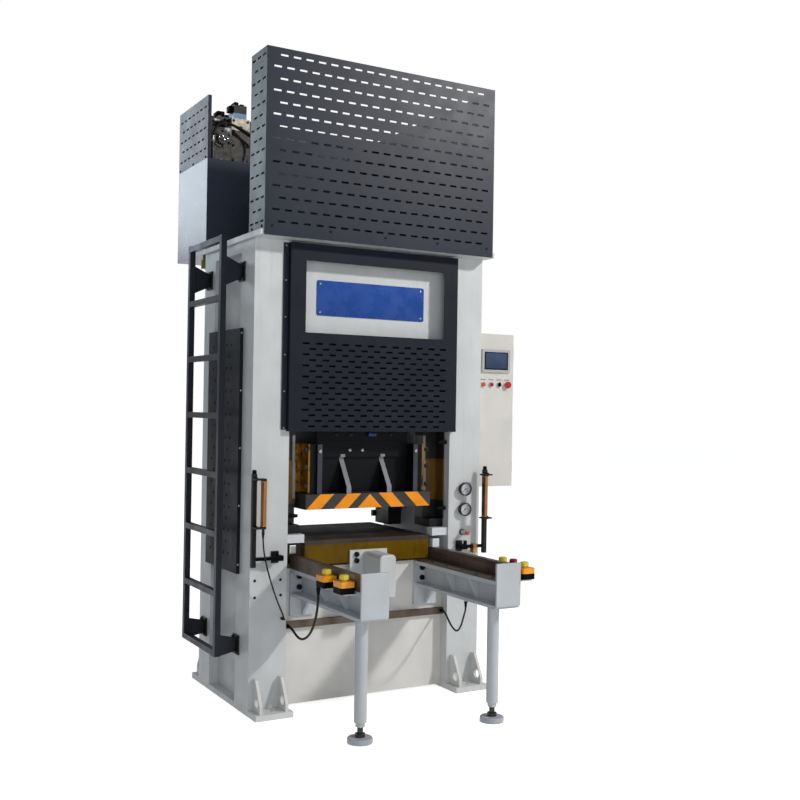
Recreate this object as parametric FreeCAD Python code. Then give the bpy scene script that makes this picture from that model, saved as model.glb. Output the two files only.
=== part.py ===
"""Hydraulic press with a rolling bolster, run-out arms and slotted guards.

Millimetres. X runs to the right, Y to the back, Z up from the floor.
The origin is the middle of the anchor hole pattern, on the floor.
Every function makes one sub-part as a list of solids.
"""
import FreeCAD, Part
import math
import os

V = FreeCAD.Vector
X_AXIS = V(1, 0, 0)
Y_AXIS = V(0, 1, 0)
Z_AXIS = V(0, 0, 1)
ORIGIN = V(0, 0, 0)

# Fits between pieces
RUNNING_FIT = 0.05        # shaft or rod in its bore, on the radius
SLIDE_FIT = 0.3           # faces that slide past each other
HOLE_CLEARANCE = 0.3      # fixed piece through a hole, on the radius

# Frame
OPENING = 968.0
UPRIGHT_WIDTH = 202.0
FRAME_DEPTH = 740.0
FRAME_TOP = 2397.0
FOOT_THICKNESS = 30.0
FOOT_REACH = 110.0
ANCHOR_RADIUS = 14.0
ANCHOR_END_DISTANCE = 55.0
GUSSET_THICKNESS = 16.0
GUSSET_HEIGHT = 157.0
GUSSET_REACH = 100.0
GUSSET_TOE = 38.0
GUSSET_LEDGE = 34.0
GUSSET_INSET = 24.0
GUSSET_HOLE_RADIUS = 24.0
GUSSET_HOLE_LEVEL = 49.0
GUSSET_HOLE_REACH = 58.0
BED_TOP = 716.0
BED_GAP = 15.0            # between the apron and the floor
BED_RECESS = 65.0
APRON_BAR_BOTTOM = 410.0
APRON_BAR_HEIGHT = 35.0
APRON_BAR_THICKNESS = 25.0
CROWN_HEIGHT = 477.0
CROWN_RECESS = 40.0
CROWN_PLATE_THICKNESS = 28.0
CROWN_PLATE_REACH = 100.0
CROWN_PLATE_SIDE = 14.0
RECESS_FRONT = -185.0      # outer side of each upright, between its two columns
RECESS_BACK = 200.0
RECESS_DEPTH = 50.0
RECESS_HEAD = 57.0
LOCATOR_LENGTH = 98.0
LOCATOR_DEPTH = 60.0
LOCATOR_HEIGHT = 42.0
LOCATOR_BOTTOM = 852.0
LOCATOR_SETBACK = 10.0
WIPER_WIDTH = 43.0         # block on the right guide bar
WIPER_DEPTH = 34.0
WIPER_HEIGHT = 46.0

# Guide rails of the slide, on the uprights
GIB_LENGTH = 92.0
GIB_FRONT = 240.0
GIB_THICKNESS = 90.0
GIB_BOTTOM = 940.0
GIB_WEAR = 8.0
GIB_WEAR_HEIGHT = 210.0
GIB_WEAR_BOTTOM = 1050.0
GIB_BACKING = 8.0
GIB_BACKING_DEPTH = 78.0

# Slide
SLIDE_DEPTH = 696.0
SLIDE_BOTTOM = 1018.0
SLIDE_BASE_HEIGHT = 78.0
SLIDE_BASE_OVERHANG = 36.0 # of the base beyond the columns
COLUMN_WIDTH = 36.0
COLUMN_HALF_DEPTH = 315.0
COLUMN_TOP = 1355.0
RIB_THICKNESS = 28.0
RIB_HALF_DEPTH = 331.0
WEB_GUSSET_X = 122.0
WEB_GUSSET_THICKNESS = 28.0
WEB_GUSSET_FOOT = 340.0
WEB_GUSSET_TOE = 34.0
WEB_GUSSET_HEAD = 235.0
WEB_Y = 235.0
WEB_THICKNESS = 20.0
DECK_TOP = 1305.0
DECK_THICKNESS = 20.0
DECK_HALF_DEPTH = 262.0
DECK_WALL = 16.0
DECK_WALL_HEIGHT = 67.0
ROD_FLANGE_RADIUS = 135.0
ROD_FLANGE_HEIGHT = 40.0
LINER_THICKNESS = 10.0
LINER_START = 209.0
SHOE_REACH = 52.0          # of the shoe face beyond the column
SHOE_DEPTH = 59.0
SHOE_BOTTOM = 1100.0

# Cylinder and rod
ROD_RADIUS = 60.0
ROD_COLLAR_RADIUS = 84.0
ROD_COLLAR_HEIGHT = 47.0
ROD_TOP = 2400.0
CYLINDER_RADIUS = 150.0
CYLINDER_TOP = 2900.0
CYLINDER_CAP = 60.0
CYLINDER_FLANGE_RADIUS = 200.0
CYLINDER_FLANGE_THICKNESS = 40.0
CYLINDER_GLAND_RADIUS = 110.0
CYLINDER_GLAND_HEIGHT = 30.0

# Covers and guards
SHEET = 3.0
COVER_OVERLAP = 19.0       # of the cover on each upright
COVER_FOLD = 32.0
COVER_BOTTOM = 1425.0
COVER_TOP_GAP = 10.0
WINDOW_MARGIN = 86.0
WINDOW_BOTTOM = 1931.0
WINDOW_HEIGHT = 368.0
COVER_SLOT_LENGTH = 38.0
COVER_SLOT_HEIGHT = 10.0
COVER_SLOT_PITCH = 75.0
COVER_SLOT_MARGIN = 60.0
COVER_ROW_PITCH = 28.3
COVER_ROW_MARGIN = 26.0
COVER_ROW_HEAD = 50.0      # least distance from the top row to the window
COVER_LINER_TOP = 1915.0
GUARD_SIDE_INSET = 4.0
GUARD_NOSE = 4.0           # between the crown plate's edge and the front sheet
GUARD_DROP = 15.0
GUARD_REAR_LEFT = -540.0
GUARD_RETURN = 206.0
GUARD_HEIGHT = 907.0
GUARD_SLOT_LENGTH = 41.0
GUARD_SLOT_HEIGHT = 10.0
GUARD_SLOT_PITCH = 69.2
GUARD_SLOT_MARGIN = 36.0
GUARD_ROW_PITCH = 59.2
GUARD_ROW_MARGIN = 42.7
TANK_GUARD_HEIGHT = 356.0
TANK_GUARD_FOLD = 20.0
TANK_GUARD_MARGIN = 30.0
SIDE_COVER_THICKNESS = 18.0
SIDE_COVER_FRONT = -230.0
SIDE_COVER_BACK = 238.0
SIDE_COVER_BOTTOM = 692.0
SIDE_COVER_TOP = 1949.0
NAME_PLATE_WIDTH = 650.0
NAME_PLATE_HEIGHT = 185.0
NAME_PLATE_BOTTOM = 2028.0
NAME_PLATE_CORNER = 12.0

# Ladder on the left side
LADDER_TUBE = 30.0
LADDER_WALL = 3.0
LADDER_FRONT = -205.0
LADDER_BACK = 283.0
LADDER_STANDOFF = 93.0
LADDER_BOTTOM = 277.0
LADDER_TOP = 2421.0
RUNG_PITCH = 301.5
RUNG_COUNT = 8
STANDOFF_LOW = 53.0        # above the foot of the ladder
STANDOFF_HIGH = 181.0      # below its head
STANDOFF_TIP = 35.0
STANDOFF_PLATE = 10.0
STANDOFF_ROOT = 150.0
STANDOFF_FLANGE_WIDTH = 80.0
STANDOFF_FLANGE_HEIGHT = 100.0
STANDOFF_FLANGE = 8.0

# Oil tank and what stands on it
TANK_DEPTH = 510.0
TANK_BOTTOM = 2405.0
TANK_HEIGHT = 540.0
TANK_LID = 12.0
TANK_LID_LIP = 4.0
TANK_BRACKET_DROP = 250.0
TANK_BRACKET_REACH = 330.0
TANK_BRACKET_THICKNESS = 20.0
TANK_BRACKET_X = 580.0
DRAIN_X = -655.0
DRAIN_Y = 465.0
DRAIN_RADIUS = 24.0
DRAIN_LENGTH = 75.0
MOTOR_RADIUS = 115.0
MOTOR_LENGTH = 330.0
MOTOR_START = 20.0
MOTOR_HEIGHT = 130.0
MOTOR_Y = 640.0
MOTOR_FOOT_WIDTH = 200.0
MOTOR_FOOT_LENGTH = 220.0
MOTOR_FOOT_SINK = 46.0     # top of the foot above the motor's lowest line
MOTOR_FLANGE = 25.0
MOTOR_COWL_LENGTH = 70.0
MOTOR_COWL_LIP = 5.0
MOTOR_COWL_CONE = 12.0
MOTOR_COWL_INSET = 20.0
BELL_LENGTH = 90.0
BELL_RADIUS = 85.0
BELL_TAPER = 17.0
PUMP_RADIUS = 55.0
PUMP_LENGTH = 110.0
MANIFOLD_X = -455.0
MANIFOLD_Y = 520.0
MANIFOLD_WIDTH = 112.0
MANIFOLD_DEPTH = 110.0
MANIFOLD_HEIGHT = 275.0
MANIFOLD_PORT_RADIUS = 13.0
SOLENOID_WIDTH = 78.0
SOLENOID_DEPTH = 90.0
SOLENOID_HEIGHT = 48.0
SPACER_HEIGHT = 32.0
FILTER_X = -573.0
FILTER_FRONT = 440.0
FILTER_RADIUS = 55.0
FILTER_LENGTH = 150.0
FILTER_HEIGHT = 139.0
FILTER_BASE_WIDTH = 104.0
FILTER_CAP_RADIUS = 33.0
FILTER_CAP_LENGTH = 12.0
SADDLE_FRONT_GAP = 5.0
SADDLE_BACK_GAP = 60.0
SADDLE_HEIGHT = 111.5
SIDE_VALVE_WIDTH = 96.0
SIDE_VALVE_HEIGHT = 44.0
SIDE_VALVE_LEVEL = 234.0
SIDE_VALVE_COIL = 30.0
VALVE_COLUMN_WIDTH = 60.0

# Run-out arms
ARM_GAP = 42.0             # between an arm and the side of the opening
ARM_WIDTH = 143.0
ARM_END = 1106.0
ARM_PLATE = 16.0
ARM_FLANGE = 20.0
ARM_BOTTOM = 579.0
ARM_END_PLATE = 12.0
ARM_END_BOTTOM = 590.0
ARM_END_TOP = 801.0
ARM_ROOT_BOTTOM = 472.0
ARM_GUSSET_REACH = 100.0
ARM_RIB_PLACES = (-630.0, -850.0)
ARM_RIB_THICKNESS = 12.0
ARM_RIB_HEAD_GAP = 6.0
ARM_RIB_FOOT = 18.0
ARM_BOLT_SPACING = 48.0
ARM_BOLT_LEVELS = (620.0, 675.0)
ARM_BOLT_HEAD_RADIUS = 15.0
ARM_BOLT_HEAD = 12.0
RAIL_THICKNESS = 8.0
RAIL_GUIDE_WIDTH = 55.0
RAIL_GUIDE_HEIGHT = 63.0
RAIL_GUIDE_CHAMFER = 18.0
RAIL_GUIDE_END = -312.0
BED_STRIP_WIDTH = 88.0

# Legs under the arms
LEG_Y = -978.0
LEG_RADIUS = 30.0
LEG_WALL = 6.0
LEG_BOTTOM = 94.0
LEG_PLUG = 40.0
NUT_HEIGHT = 20.0
NUT_RADIUS = 25.0
SCREW_RADIUS = 14.0
SCREW_TOP = 175.0
PAD_RADIUS = 60.0
PAD_HEIGHT = 25.0
PAD_BEVEL = 4.0
HUB_RADIUS = 24.0
HUB_HEIGHT = 18.0

# Rolling bolster
BOLSTER_GUIDE_GAP = 13.0   # to the guide bars on both sides
BOLSTER_FRONT = 340.0
BOLSTER_HEIGHT = 103.0
BOLSTER_LIFT = 6.0
BOLSTER_PLATE = 24.0
DIE_HOLE_X = 250.0
DIE_HOLE_Y = 200.0
DIE_HOLE_RADIUS = 8.5
WHEEL_RADIUS = 30.0
WHEEL_WIDTH = 36.0
WHEEL_Y = 260.0
WHEEL_LIFT = 0.3
AXLE_RADIUS = 8.0
AXLE_END_INSET = 12.0
POCKET_CLEARANCE = 4.0

# Drive unit on the front of the bolster
DRIVE_PLATE_LEFT = -115.0
DRIVE_PLATE_RIGHT = 108.0
DRIVE_PLATE_BOTTOM = 640.0
DRIVE_PLATE_TOP = 797.0
DRIVE_PLATE_THICKNESS = 12.0
DRIVE_LEFT = -40.0
DRIVE_WIDTH = 97.0
DRIVE_DEPTH = 193.0
DRIVE_BOTTOM = 570.0
DRIVE_HEIGHT = 220.0
DRIVE_CORNER = 26.0
DRIVE_EDGE = 8.0

# Two-hand button boxes beside the arms
BOX_GAP = 6.0
BOX_WIDTH = 72.0
BOX_LENGTH = 84.0
BOX_PLACES_LEFT = (-830.0, -1012.0)
BOX_PLACES_RIGHT = (-895.0, -1077.0)
BOX_BOTTOM_LEFT = 704.0
BOX_BOTTOM_RIGHT = 716.0
BOX_BASE_HEIGHT = 29.0
BOX_TOP_HEIGHT = 27.0
BOX_CORNER = 7.0
BRACKET_THICKNESS = 6.0
BRACKET_LENGTH = 58.0
BUTTON_RADIUS = 22.0
BUTTON_NECK_RADIUS = 13.0
BUTTON_GAP = 7.0
BUTTON_HEAD = 20.0
BUTTON_BEVEL = 4.0
BUTTON_NECK_DEPTH = 18.0
ARM_STOP_Y = -985.0
ARM_STOP_BASE = 40.0
ARM_STOP_BASE_HEIGHT = 58.0
ARM_STOP_RADIUS = 20.0

# Light curtains
POST_SPREAD = 175.0        # outwards from the side of the opening
POST_STANDOFF = 100.0      # forwards from the front of the frame
POST_SIZE = 22.0
POST_BOTTOM = 953.0
POST_TOP = 1185.0
BAR_SPREAD = 206.0
BAR_STANDOFF = 50.0
BAR_SIZE = 22.0
BAR_BOTTOM = 750.0
BAR_TOP = 1215.0
CLAMP_THICKNESS = 8.0
CURTAIN_ARM_BOTTOM = 785.0
CURTAIN_ARM_HEIGHT = 9.0
CURTAIN_ARM_SPREAD = 50.0
CURTAIN_TAB_WIDTH = 40.0
CURTAIN_TAB_HEIGHT = 60.0
CURTAIN_TAB_THICKNESS = 6.0
PLUG_RADIUS = 7.0

# Control cabinet on the right upright
CABINET_WIDTH = 261.0
CABINET_SETBACK = 50.0
CABINET_DEPTH = 220.0
CABINET_BOTTOM = 1112.0
CABINET_TOP = 1987.0
CABINET_WALL = 3.0
DOOR_THICKNESS = 18.0
DOOR_SKIN = 2.0
DOOR_GAP = 0.3
HINGE_OFFSET = 7.0
HINGE_RADIUS = 6.0
HINGE_PIN_RADIUS = 3.0
HINGE_KNUCKLE = 30.0
HINGE_LEAF = 2.5
HINGE_LEAF_WIDTH = 14.0
HINGE_FROM_BOTTOM = 78.0
HINGE_FROM_TOP = 137.0
SCREEN_INSET = 37.0
SCREEN_WIDTH = 193.0
SCREEN_DROP = 90.0
SCREEN_HEIGHT = 131.0
SCREEN_PROUD = 12.0
SCREEN_BORDER = 14.0
SCREEN_RECESS = 2.0
CONTROL_DROP = 71.0         # of the row of controls below the screen
CONTROL_PITCH = 55.0
CONTROL_INSET = 51.0
CONTROL_RADIUS = 10.0
CONTROL_RING_RADIUS = 14.5
CONTROL_RING = 5.0
CONTROL_PROUD = 9.0
CONTROL_DEPTH = 8.0
LAMP_PROUD = 14.0
SELECTOR_HANDLE = 15.0
SELECTOR_TAIL = 8.0
SELECTOR_HANDLE_THICKNESS = 6.0
STOP_HEAD_RADIUS = 19.0
STOP_HEAD = 14.0
STOP_HEAD_GAP = 6.0
STOP_HEAD_BEVEL = 4.0

# Air gauges and regulator on the right upright
GAUGE_SPREAD = 96.0        # outwards from the side of the opening
GAUGE_LEVELS = (993.0, 1106.0)
GAUGE_RADIUS = 37.0
GAUGE_DEPTH = 28.0
GAUGE_RIM = 4.0
GAUGE_RECESS = 8.0
GAUGE_STEP = 5.0
GAUGE_NECK_DEPTH = 12.6
GAUGE_PIN_HOLE = 4.0
NEEDLE_LENGTH = 25.0
NEEDLE_TAIL = 8.0
NEEDLE_HUB = 4.0
NEEDLE_PIN = 1.5
NEEDLE_PIN_DEPTH = 3.5
NEEDLE_THICKNESS = 1.2
NEEDLE_LIFT = 1.5
NEEDLE_HALF_ROOT = 1.6
NEEDLE_HALF_TIP = 0.5
NEEDLE_REST = -135.0
REGULATOR_SPREAD = 90.0
REGULATOR_LEVEL = 865.0
REGULATOR_FLANGE_RADIUS = 17.0
REGULATOR_FLANGE = 8.0
REGULATOR_RADIUS = 13.0
REGULATOR_LENGTH = 42.0
KNOB_RADIUS = 11.0
KNOB_LENGTH = 14.0
KNOB_SHAFT_RADIUS = 4.0
KNOB_SHAFT_LENGTH = 12.0
KNOB_BORE_SPARE = 1.0

# Cables and hoses: radius and the points of each route
BOX_CABLE_RADIUS = 6.0
CURTAIN_CABLE_RADIUS = 4.0
ARM_CABLE_RADIUS = 5.0
HOSE_RADIUS = 6.5
GLAND_RADIUS = 9.0
RISER_RADIUS = 13.0
RISER_X = -650.0
BOX_CABLE_ROUTE = (
    (-510.0, -798.0, 692.0), (-510.0, -798.0, 648.0), (-509.0, -788.0, 596.0),
    (-506.0, -766.0, 546.0), (-498.0, -716.0, 486.0), (-487.0, -650.0, 440.0),
    (-478.0, -580.0, 408.0), (-471.0, -508.0, 394.0), (-467.0, -446.0, 406.0),
    (-466.0, -396.0, 427.5), (-466.0, -346.0, 427.5))
CURTAIN_CABLE_ROUTE = (
    (-659.0, -470.0, 925.0), (-659.0, -470.0, 872.0), (-646.0, -466.0, 800.0),
    (-616.0, -455.0, 704.0), (-580.0, -444.0, 612.0), (-556.0, -442.0, 556.0),
    (-536.0, -440.0, 514.0), (-521.0, -428.0, 486.0), (-510.0, -406.0, 476.0),
    (-510.0, -382.0, 476.0))
ARM_CABLE_ROUTE = (
    (462.0, -342.0, 432.0), (462.0, -384.0, 432.0), (446.0, -440.0, 404.0),
    (428.0, -510.0, 374.0), (408.0, -590.0, 364.0), (388.0, -660.0, 408.0),
    (366.0, -716.0, 470.0), (342.0, -768.0, 512.0), (331.0, -788.0, 540.0),
    (331.0, -788.0, 567.0))
PRESSURE_HOSE_ROUTE = (
    (-628.0, 440.0, 3184.0), (-560.0, 440.0, 3184.0), (-492.0, 437.0, 3160.0),
    (-420.0, 427.0, 3118.0), (-362.0, 388.0, 3084.0), (-318.0, 320.0, 3040.0),
    (-298.0, 236.0, 2984.0), (-290.0, 166.0, 2930.0), (-288.0, 110.0, 2892.0),
    (-280.0, 56.0, 2866.0), (-258.0, 20.0, 2855.0), (-216.0, 0.0, 2850.0),
    (-176.0, 0.0, 2850.0))
RETURN_HOSE_ROUTE = (
    (-640.0, 415.0, 3050.0), (-640.0, 415.0, 3092.0), (-628.0, 415.0, 3132.0),
    (-596.0, 415.0, 3162.0), (-552.0, 415.0, 3170.0), (-500.0, 415.0, 3158.0),
    (-440.0, 417.0, 3136.0), (-380.0, 418.0, 3102.0), (-334.0, 420.0, 3054.0),
    (-300.0, 420.0, 2998.0), (-300.0, 420.0, 2957.0))

# Places worked out from the sizes above
HALF_OPENING = OPENING / 2
HALF_FRAME = HALF_OPENING + UPRIGHT_WIDTH
HALF_DEPTH = FRAME_DEPTH / 2
FOOT_HALF_DEPTH = HALF_DEPTH + FOOT_REACH
UPRIGHT_CENTRE = HALF_OPENING + UPRIGHT_WIDTH / 2
BED_HALF_DEPTH = HALF_DEPTH - BED_RECESS
BAR_FRONT = -BED_HALF_DEPTH - APRON_BAR_THICKNESS
CROWN_BOTTOM = FRAME_TOP - CROWN_HEIGHT
CROWN_FRONT = HALF_DEPTH - CROWN_RECESS
CROWN_PLATE_TOP = FRAME_TOP + CROWN_PLATE_THICKNESS
CROWN_PLATE_FRONT = HALF_DEPTH + CROWN_PLATE_REACH
ARM_OUTER = HALF_OPENING - ARM_GAP
ARM_INNER = ARM_OUTER - ARM_WIDTH
ARM_CENTRE = ARM_INNER + ARM_WIDTH / 2
GUIDE_INNER = ARM_OUTER - RAIL_GUIDE_WIDTH
RAIL_TOP = BED_TOP + RAIL_THICKNESS
AXLE_LEVEL = RAIL_TOP + WHEEL_LIFT + WHEEL_RADIUS
BOLSTER_BOTTOM = RAIL_TOP + BOLSTER_LIFT
BOLSTER_TOP = BOLSTER_BOTTOM + BOLSTER_HEIGHT
BOLSTER_HALF = GUIDE_INNER - BOLSTER_GUIDE_GAP
WHEEL_X = ARM_INNER + BED_STRIP_WIDTH / 2
COLUMN_OUTER = HALF_OPENING - GIB_LENGTH - SHOE_REACH
SLIDE_HALF = COLUMN_OUTER + SLIDE_BASE_OVERHANG
COVER_HALF = HALF_OPENING + COVER_OVERLAP
COVER_TOP = FRAME_TOP - COVER_TOP_GAP
WINDOW_HALF = COVER_HALF - WINDOW_MARGIN
WINDOW_TOP = WINDOW_BOTTOM + WINDOW_HEIGHT
GUARD_HALF = HALF_FRAME - GUARD_SIDE_INSET
GUARD_FRONT = CROWN_PLATE_FRONT + GUARD_NOSE + SHEET
GUARD_TOP = CROWN_PLATE_TOP + GUARD_HEIGHT
STANDOFF_LEVELS = (LADDER_BOTTOM + STANDOFF_LOW, LADDER_TOP - STANDOFF_HIGH)
TANK_BACK = HALF_DEPTH + TANK_DEPTH
SLIDE_BASE_TOP = SLIDE_BOTTOM + SLIDE_BASE_HEIGHT
TANK_TOP = TANK_BOTTOM + TANK_HEIGHT
CABINET_LEFT = HALF_FRAME
CABINET_RIGHT = CABINET_LEFT + CABINET_WIDTH
CABINET_FRONT = CABINET_SETBACK - HALF_DEPTH
CABINET_BACK = CABINET_FRONT + CABINET_DEPTH
HINGE_LEVELS = (CABINET_BOTTOM + HINGE_FROM_BOTTOM, CABINET_TOP - HINGE_FROM_TOP)
SCREEN_LEFT = CABINET_LEFT + SCREEN_INSET
SCREEN_BOTTOM = CABINET_TOP - SCREEN_DROP - SCREEN_HEIGHT
CONTROL_LEVEL = SCREEN_BOTTOM - CONTROL_DROP
CONTROL_FIRST = CABINET_LEFT + CONTROL_INSET
GAUGE_X = HALF_OPENING + GAUGE_SPREAD
REGULATOR_X = HALF_OPENING + REGULATOR_SPREAD
POST_X = HALF_OPENING + POST_SPREAD
POST_Y = -HALF_DEPTH - POST_STANDOFF
BAR_X = HALF_OPENING + BAR_SPREAD
BAR_Y = -HALF_DEPTH - BAR_STANDOFF
CURTAIN_ARM_INNER = HALF_OPENING + CURTAIN_ARM_SPREAD
DOOR_BACK = CABINET_FRONT + DOOR_THICKNESS
HINGE_X = CABINET_RIGHT + HINGE_OFFSET
HINGE_Y = DOOR_BACK
CONTROL_PLACES = [CONTROL_FIRST + CONTROL_PITCH * step for step in range(4)]
BOX_CENTRE = ARM_OUTER + BOX_GAP + BOX_WIDTH / 2
BRACKET_REACH = ARM_OUTER + BRACKET_LENGTH


def box(x_low, x_high, y_low, y_high, z_low, z_high):
    size = (x_high - x_low, y_high - y_low, z_high - z_low)
    return Part.makeBox(*size, V(x_low, y_low, z_low))


def cylinder(radius, start, end):
    return Part.makeCylinder(radius, (end - start).Length, start, end - start)


def ring(radius, bore, start, end):
    return cylinder(radius, start, end).cut(cylinder(bore, start, end))


def prism(corners, along):
    """A solid with a straight-sided outline, drawn out along a vector."""
    outline = Part.makePolygon(list(corners) + [corners[0]])
    return Part.Face(outline).extrude(along)


def side_prism(outline, x_low, x_high):
    """Outline points are (y, z); the solid spans x_low to x_high."""
    corners = [V(x_low, y, z) for y, z in outline]
    return prism(corners, V(x_high - x_low, 0, 0))


def front_prism(outline, y_low, y_high):
    """Outline points are (x, z); the solid spans y_low to y_high."""
    corners = [V(x, y_low, z) for x, z in outline]
    return prism(corners, V(0, y_high - y_low, 0))


def turned(profile, centre, axis):
    """Turn (radius, distance along the axis) points about an axis through centre."""
    side = V(0, 0, 1) if abs(axis.z) < 0.5 else V(1, 0, 0)
    corners = [centre + side * radius + axis * distance for radius, distance in profile]
    outline = Part.makePolygon(corners + [corners[0]])
    return Part.Face(outline).revolve(centre, axis, 360)


def mirrored(shape):
    return shape.mirror(ORIGIN, X_AXIS)


def mirrored_back(shape):
    return shape.mirror(ORIGIN, Y_AXIS)


def left_and_right(shape):
    return [mirrored(shape), shape]


def front_and_back(shape):
    return [shape, mirrored_back(shape)]


def fused(pieces):
    whole = pieces[0].fuse(pieces[1:])
    return whole.removeSplitter()


def rounded_box(x_low, x_high, y_low, y_high, z_low, z_high, corner):
    """A box whose four upright edges are rounded."""
    solid = box(x_low, x_high, y_low, y_high, z_low, z_high)
    edges = [edge for edge in solid.Edges if upright_edge(edge)]
    return solid.makeFillet(corner, edges)


def upright_edge(edge):
    start = edge.Vertexes[0].Point
    end = edge.Vertexes[1].Point
    return abs(start.x - end.x) < 1e-6 and abs(start.y - end.y) < 1e-6


def top_edges(solid, level):
    return [edge for edge in solid.Edges
            if abs(edge.BoundBox.ZMin - level) < 1e-6 and abs(edge.BoundBox.ZMax - level) < 1e-6]


# ---- Frame ---------------------------------------------------------------

def foot_plates():
    """A floor plate under each upright, with four welded gussets."""
    plate = box(HALF_OPENING, HALF_FRAME, -FOOT_HALF_DEPTH, FOOT_HALF_DEPTH, 0, FOOT_THICKNESS)
    anchor_y = FOOT_HALF_DEPTH - ANCHOR_END_DISTANCE
    for y in (-anchor_y, anchor_y):
        plate = plate.cut(cylinder(ANCHOR_RADIUS, V(UPRIGHT_CENTRE, y, 0),
                                   V(UPRIGHT_CENTRE, y, FOOT_THICKNESS)))
    inner = HALF_OPENING + GUSSET_INSET
    outer = HALF_FRAME - GUSSET_INSET - GUSSET_THICKNESS
    gussets = []
    for x in (inner, outer):
        gussets += front_and_back(foot_gusset(x))
    return left_and_right(fused([plate] + gussets))


def foot_gusset(x):
    back = -HALF_DEPTH
    toe = back - GUSSET_REACH
    low = FOOT_THICKNESS
    top = low + GUSSET_HEIGHT
    outline = [(back, low), (toe, low), (toe, low + GUSSET_TOE), (back - GUSSET_LEDGE, top), (back, top)]
    plate = side_prism(outline, x, x + GUSSET_THICKNESS)
    hole_y = back - GUSSET_HOLE_REACH
    hole_z = low + GUSSET_HOLE_LEVEL
    hole = cylinder(GUSSET_HOLE_RADIUS, V(x, hole_y, hole_z), V(x + GUSSET_THICKNESS, hole_y, hole_z))
    return plate.cut(hole)


def upright():
    """Two box columns with a web between them, set back on the outer side."""
    post = box(HALF_OPENING, HALF_FRAME, -HALF_DEPTH, HALF_DEPTH, FOOT_THICKNESS, FRAME_TOP)
    recess = box(HALF_FRAME - RECESS_DEPTH, HALF_FRAME, RECESS_FRONT, RECESS_BACK,
                 FOOT_THICKNESS, FRAME_TOP - RECESS_HEAD)
    return post.cut(recess)


def bed_beam():
    return [box(-HALF_OPENING, HALF_OPENING, -BED_HALF_DEPTH, BED_HALF_DEPTH, BED_GAP, BED_TOP)]


def apron_bar():
    """The steel bar across the apron, with the glands where two cables go in."""
    top = APRON_BAR_BOTTOM + APRON_BAR_HEIGHT
    bar = box(-HALF_OPENING, HALF_OPENING, BAR_FRONT, -BED_HALF_DEPTH, APRON_BAR_BOTTOM, top)
    glands = []
    for x, y, z in (BOX_CABLE_ROUTE[-1], ARM_CABLE_ROUTE[0]):
        glands.append(cylinder(GLAND_RADIUS, V(x, y, z), V(x, BAR_FRONT, z)))
    return [fused([bar] + glands)]


def crown_beam():
    beam = box(-HALF_OPENING, HALF_OPENING, -CROWN_FRONT, CROWN_FRONT, CROWN_BOTTOM, FRAME_TOP)
    return [beam.cut(cylinder_bore(CROWN_BOTTOM, FRAME_TOP))]


def cylinder_bore(low, high):
    return cylinder(CYLINDER_RADIUS + HOLE_CLEARANCE, V(0, 0, low), V(0, 0, high))


def crown_plate():
    """The plate that ties the frame on top and reaches out at the front."""
    half = HALF_FRAME + CROWN_PLATE_SIDE
    plate = box(-half, half, -CROWN_PLATE_FRONT, HALF_DEPTH, FRAME_TOP, CROWN_PLATE_TOP)
    return [plate.cut(cylinder_bore(FRAME_TOP, CROWN_PLATE_TOP))]


def locator_blocks():
    front = -HALF_DEPTH + LOCATOR_SETBACK
    block = box(HALF_OPENING - LOCATOR_LENGTH, HALF_OPENING, front, front + LOCATOR_DEPTH,
                LOCATOR_BOTTOM, LOCATOR_BOTTOM + LOCATOR_HEIGHT)
    guide_top = RAIL_TOP + RAIL_GUIDE_HEIGHT
    wiper = box(ARM_OUTER - WIPER_WIDTH, ARM_OUTER, RAIL_GUIDE_END - WIPER_DEPTH, RAIL_GUIDE_END,
                guide_top, guide_top + WIPER_HEIGHT)
    return left_and_right(block) + [wiper]


def gib_rails():
    """Four guide rails inside the uprights, each with a raised wear face in front."""
    inner = HALF_OPENING - GIB_LENGTH
    rail = box(inner, HALF_OPENING, -GIB_FRONT, -GIB_FRONT + GIB_THICKNESS, GIB_BOTTOM, CROWN_BOTTOM)
    wear = box(inner, inner + GIB_LENGTH / 2, -GIB_FRONT - GIB_WEAR, -GIB_FRONT,
               GIB_WEAR_BOTTOM, GIB_WEAR_BOTTOM + GIB_WEAR_HEIGHT)
    backing = box(HALF_OPENING - GIB_BACKING, HALF_OPENING, -GIB_FRONT - GIB_BACKING_DEPTH, -GIB_FRONT,
                  GIB_BOTTOM, CROWN_BOTTOM)
    corner = front_and_back(fused([rail, wear, backing]))
    return corner + [mirrored(solid) for solid in corner]


def name_plate():
    half = NAME_PLATE_WIDTH / 2
    top = NAME_PLATE_BOTTOM + NAME_PLATE_HEIGHT
    flat = rounded_box(-half, half, 0, NAME_PLATE_HEIGHT, 0, SHEET, NAME_PLATE_CORNER)
    flat.rotate(ORIGIN, X_AXIS, 90)
    flat.translate(V(0, -CROWN_FRONT, top - NAME_PLATE_HEIGHT))
    return [flat]


# ---- Slide, rod and cylinder --------------------------------------------

def slide_base():
    deep = SLIDE_DEPTH / 2
    return [box(-SLIDE_HALF, SLIDE_HALF, -deep, deep, SLIDE_BOTTOM, SLIDE_BASE_TOP)]


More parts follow.
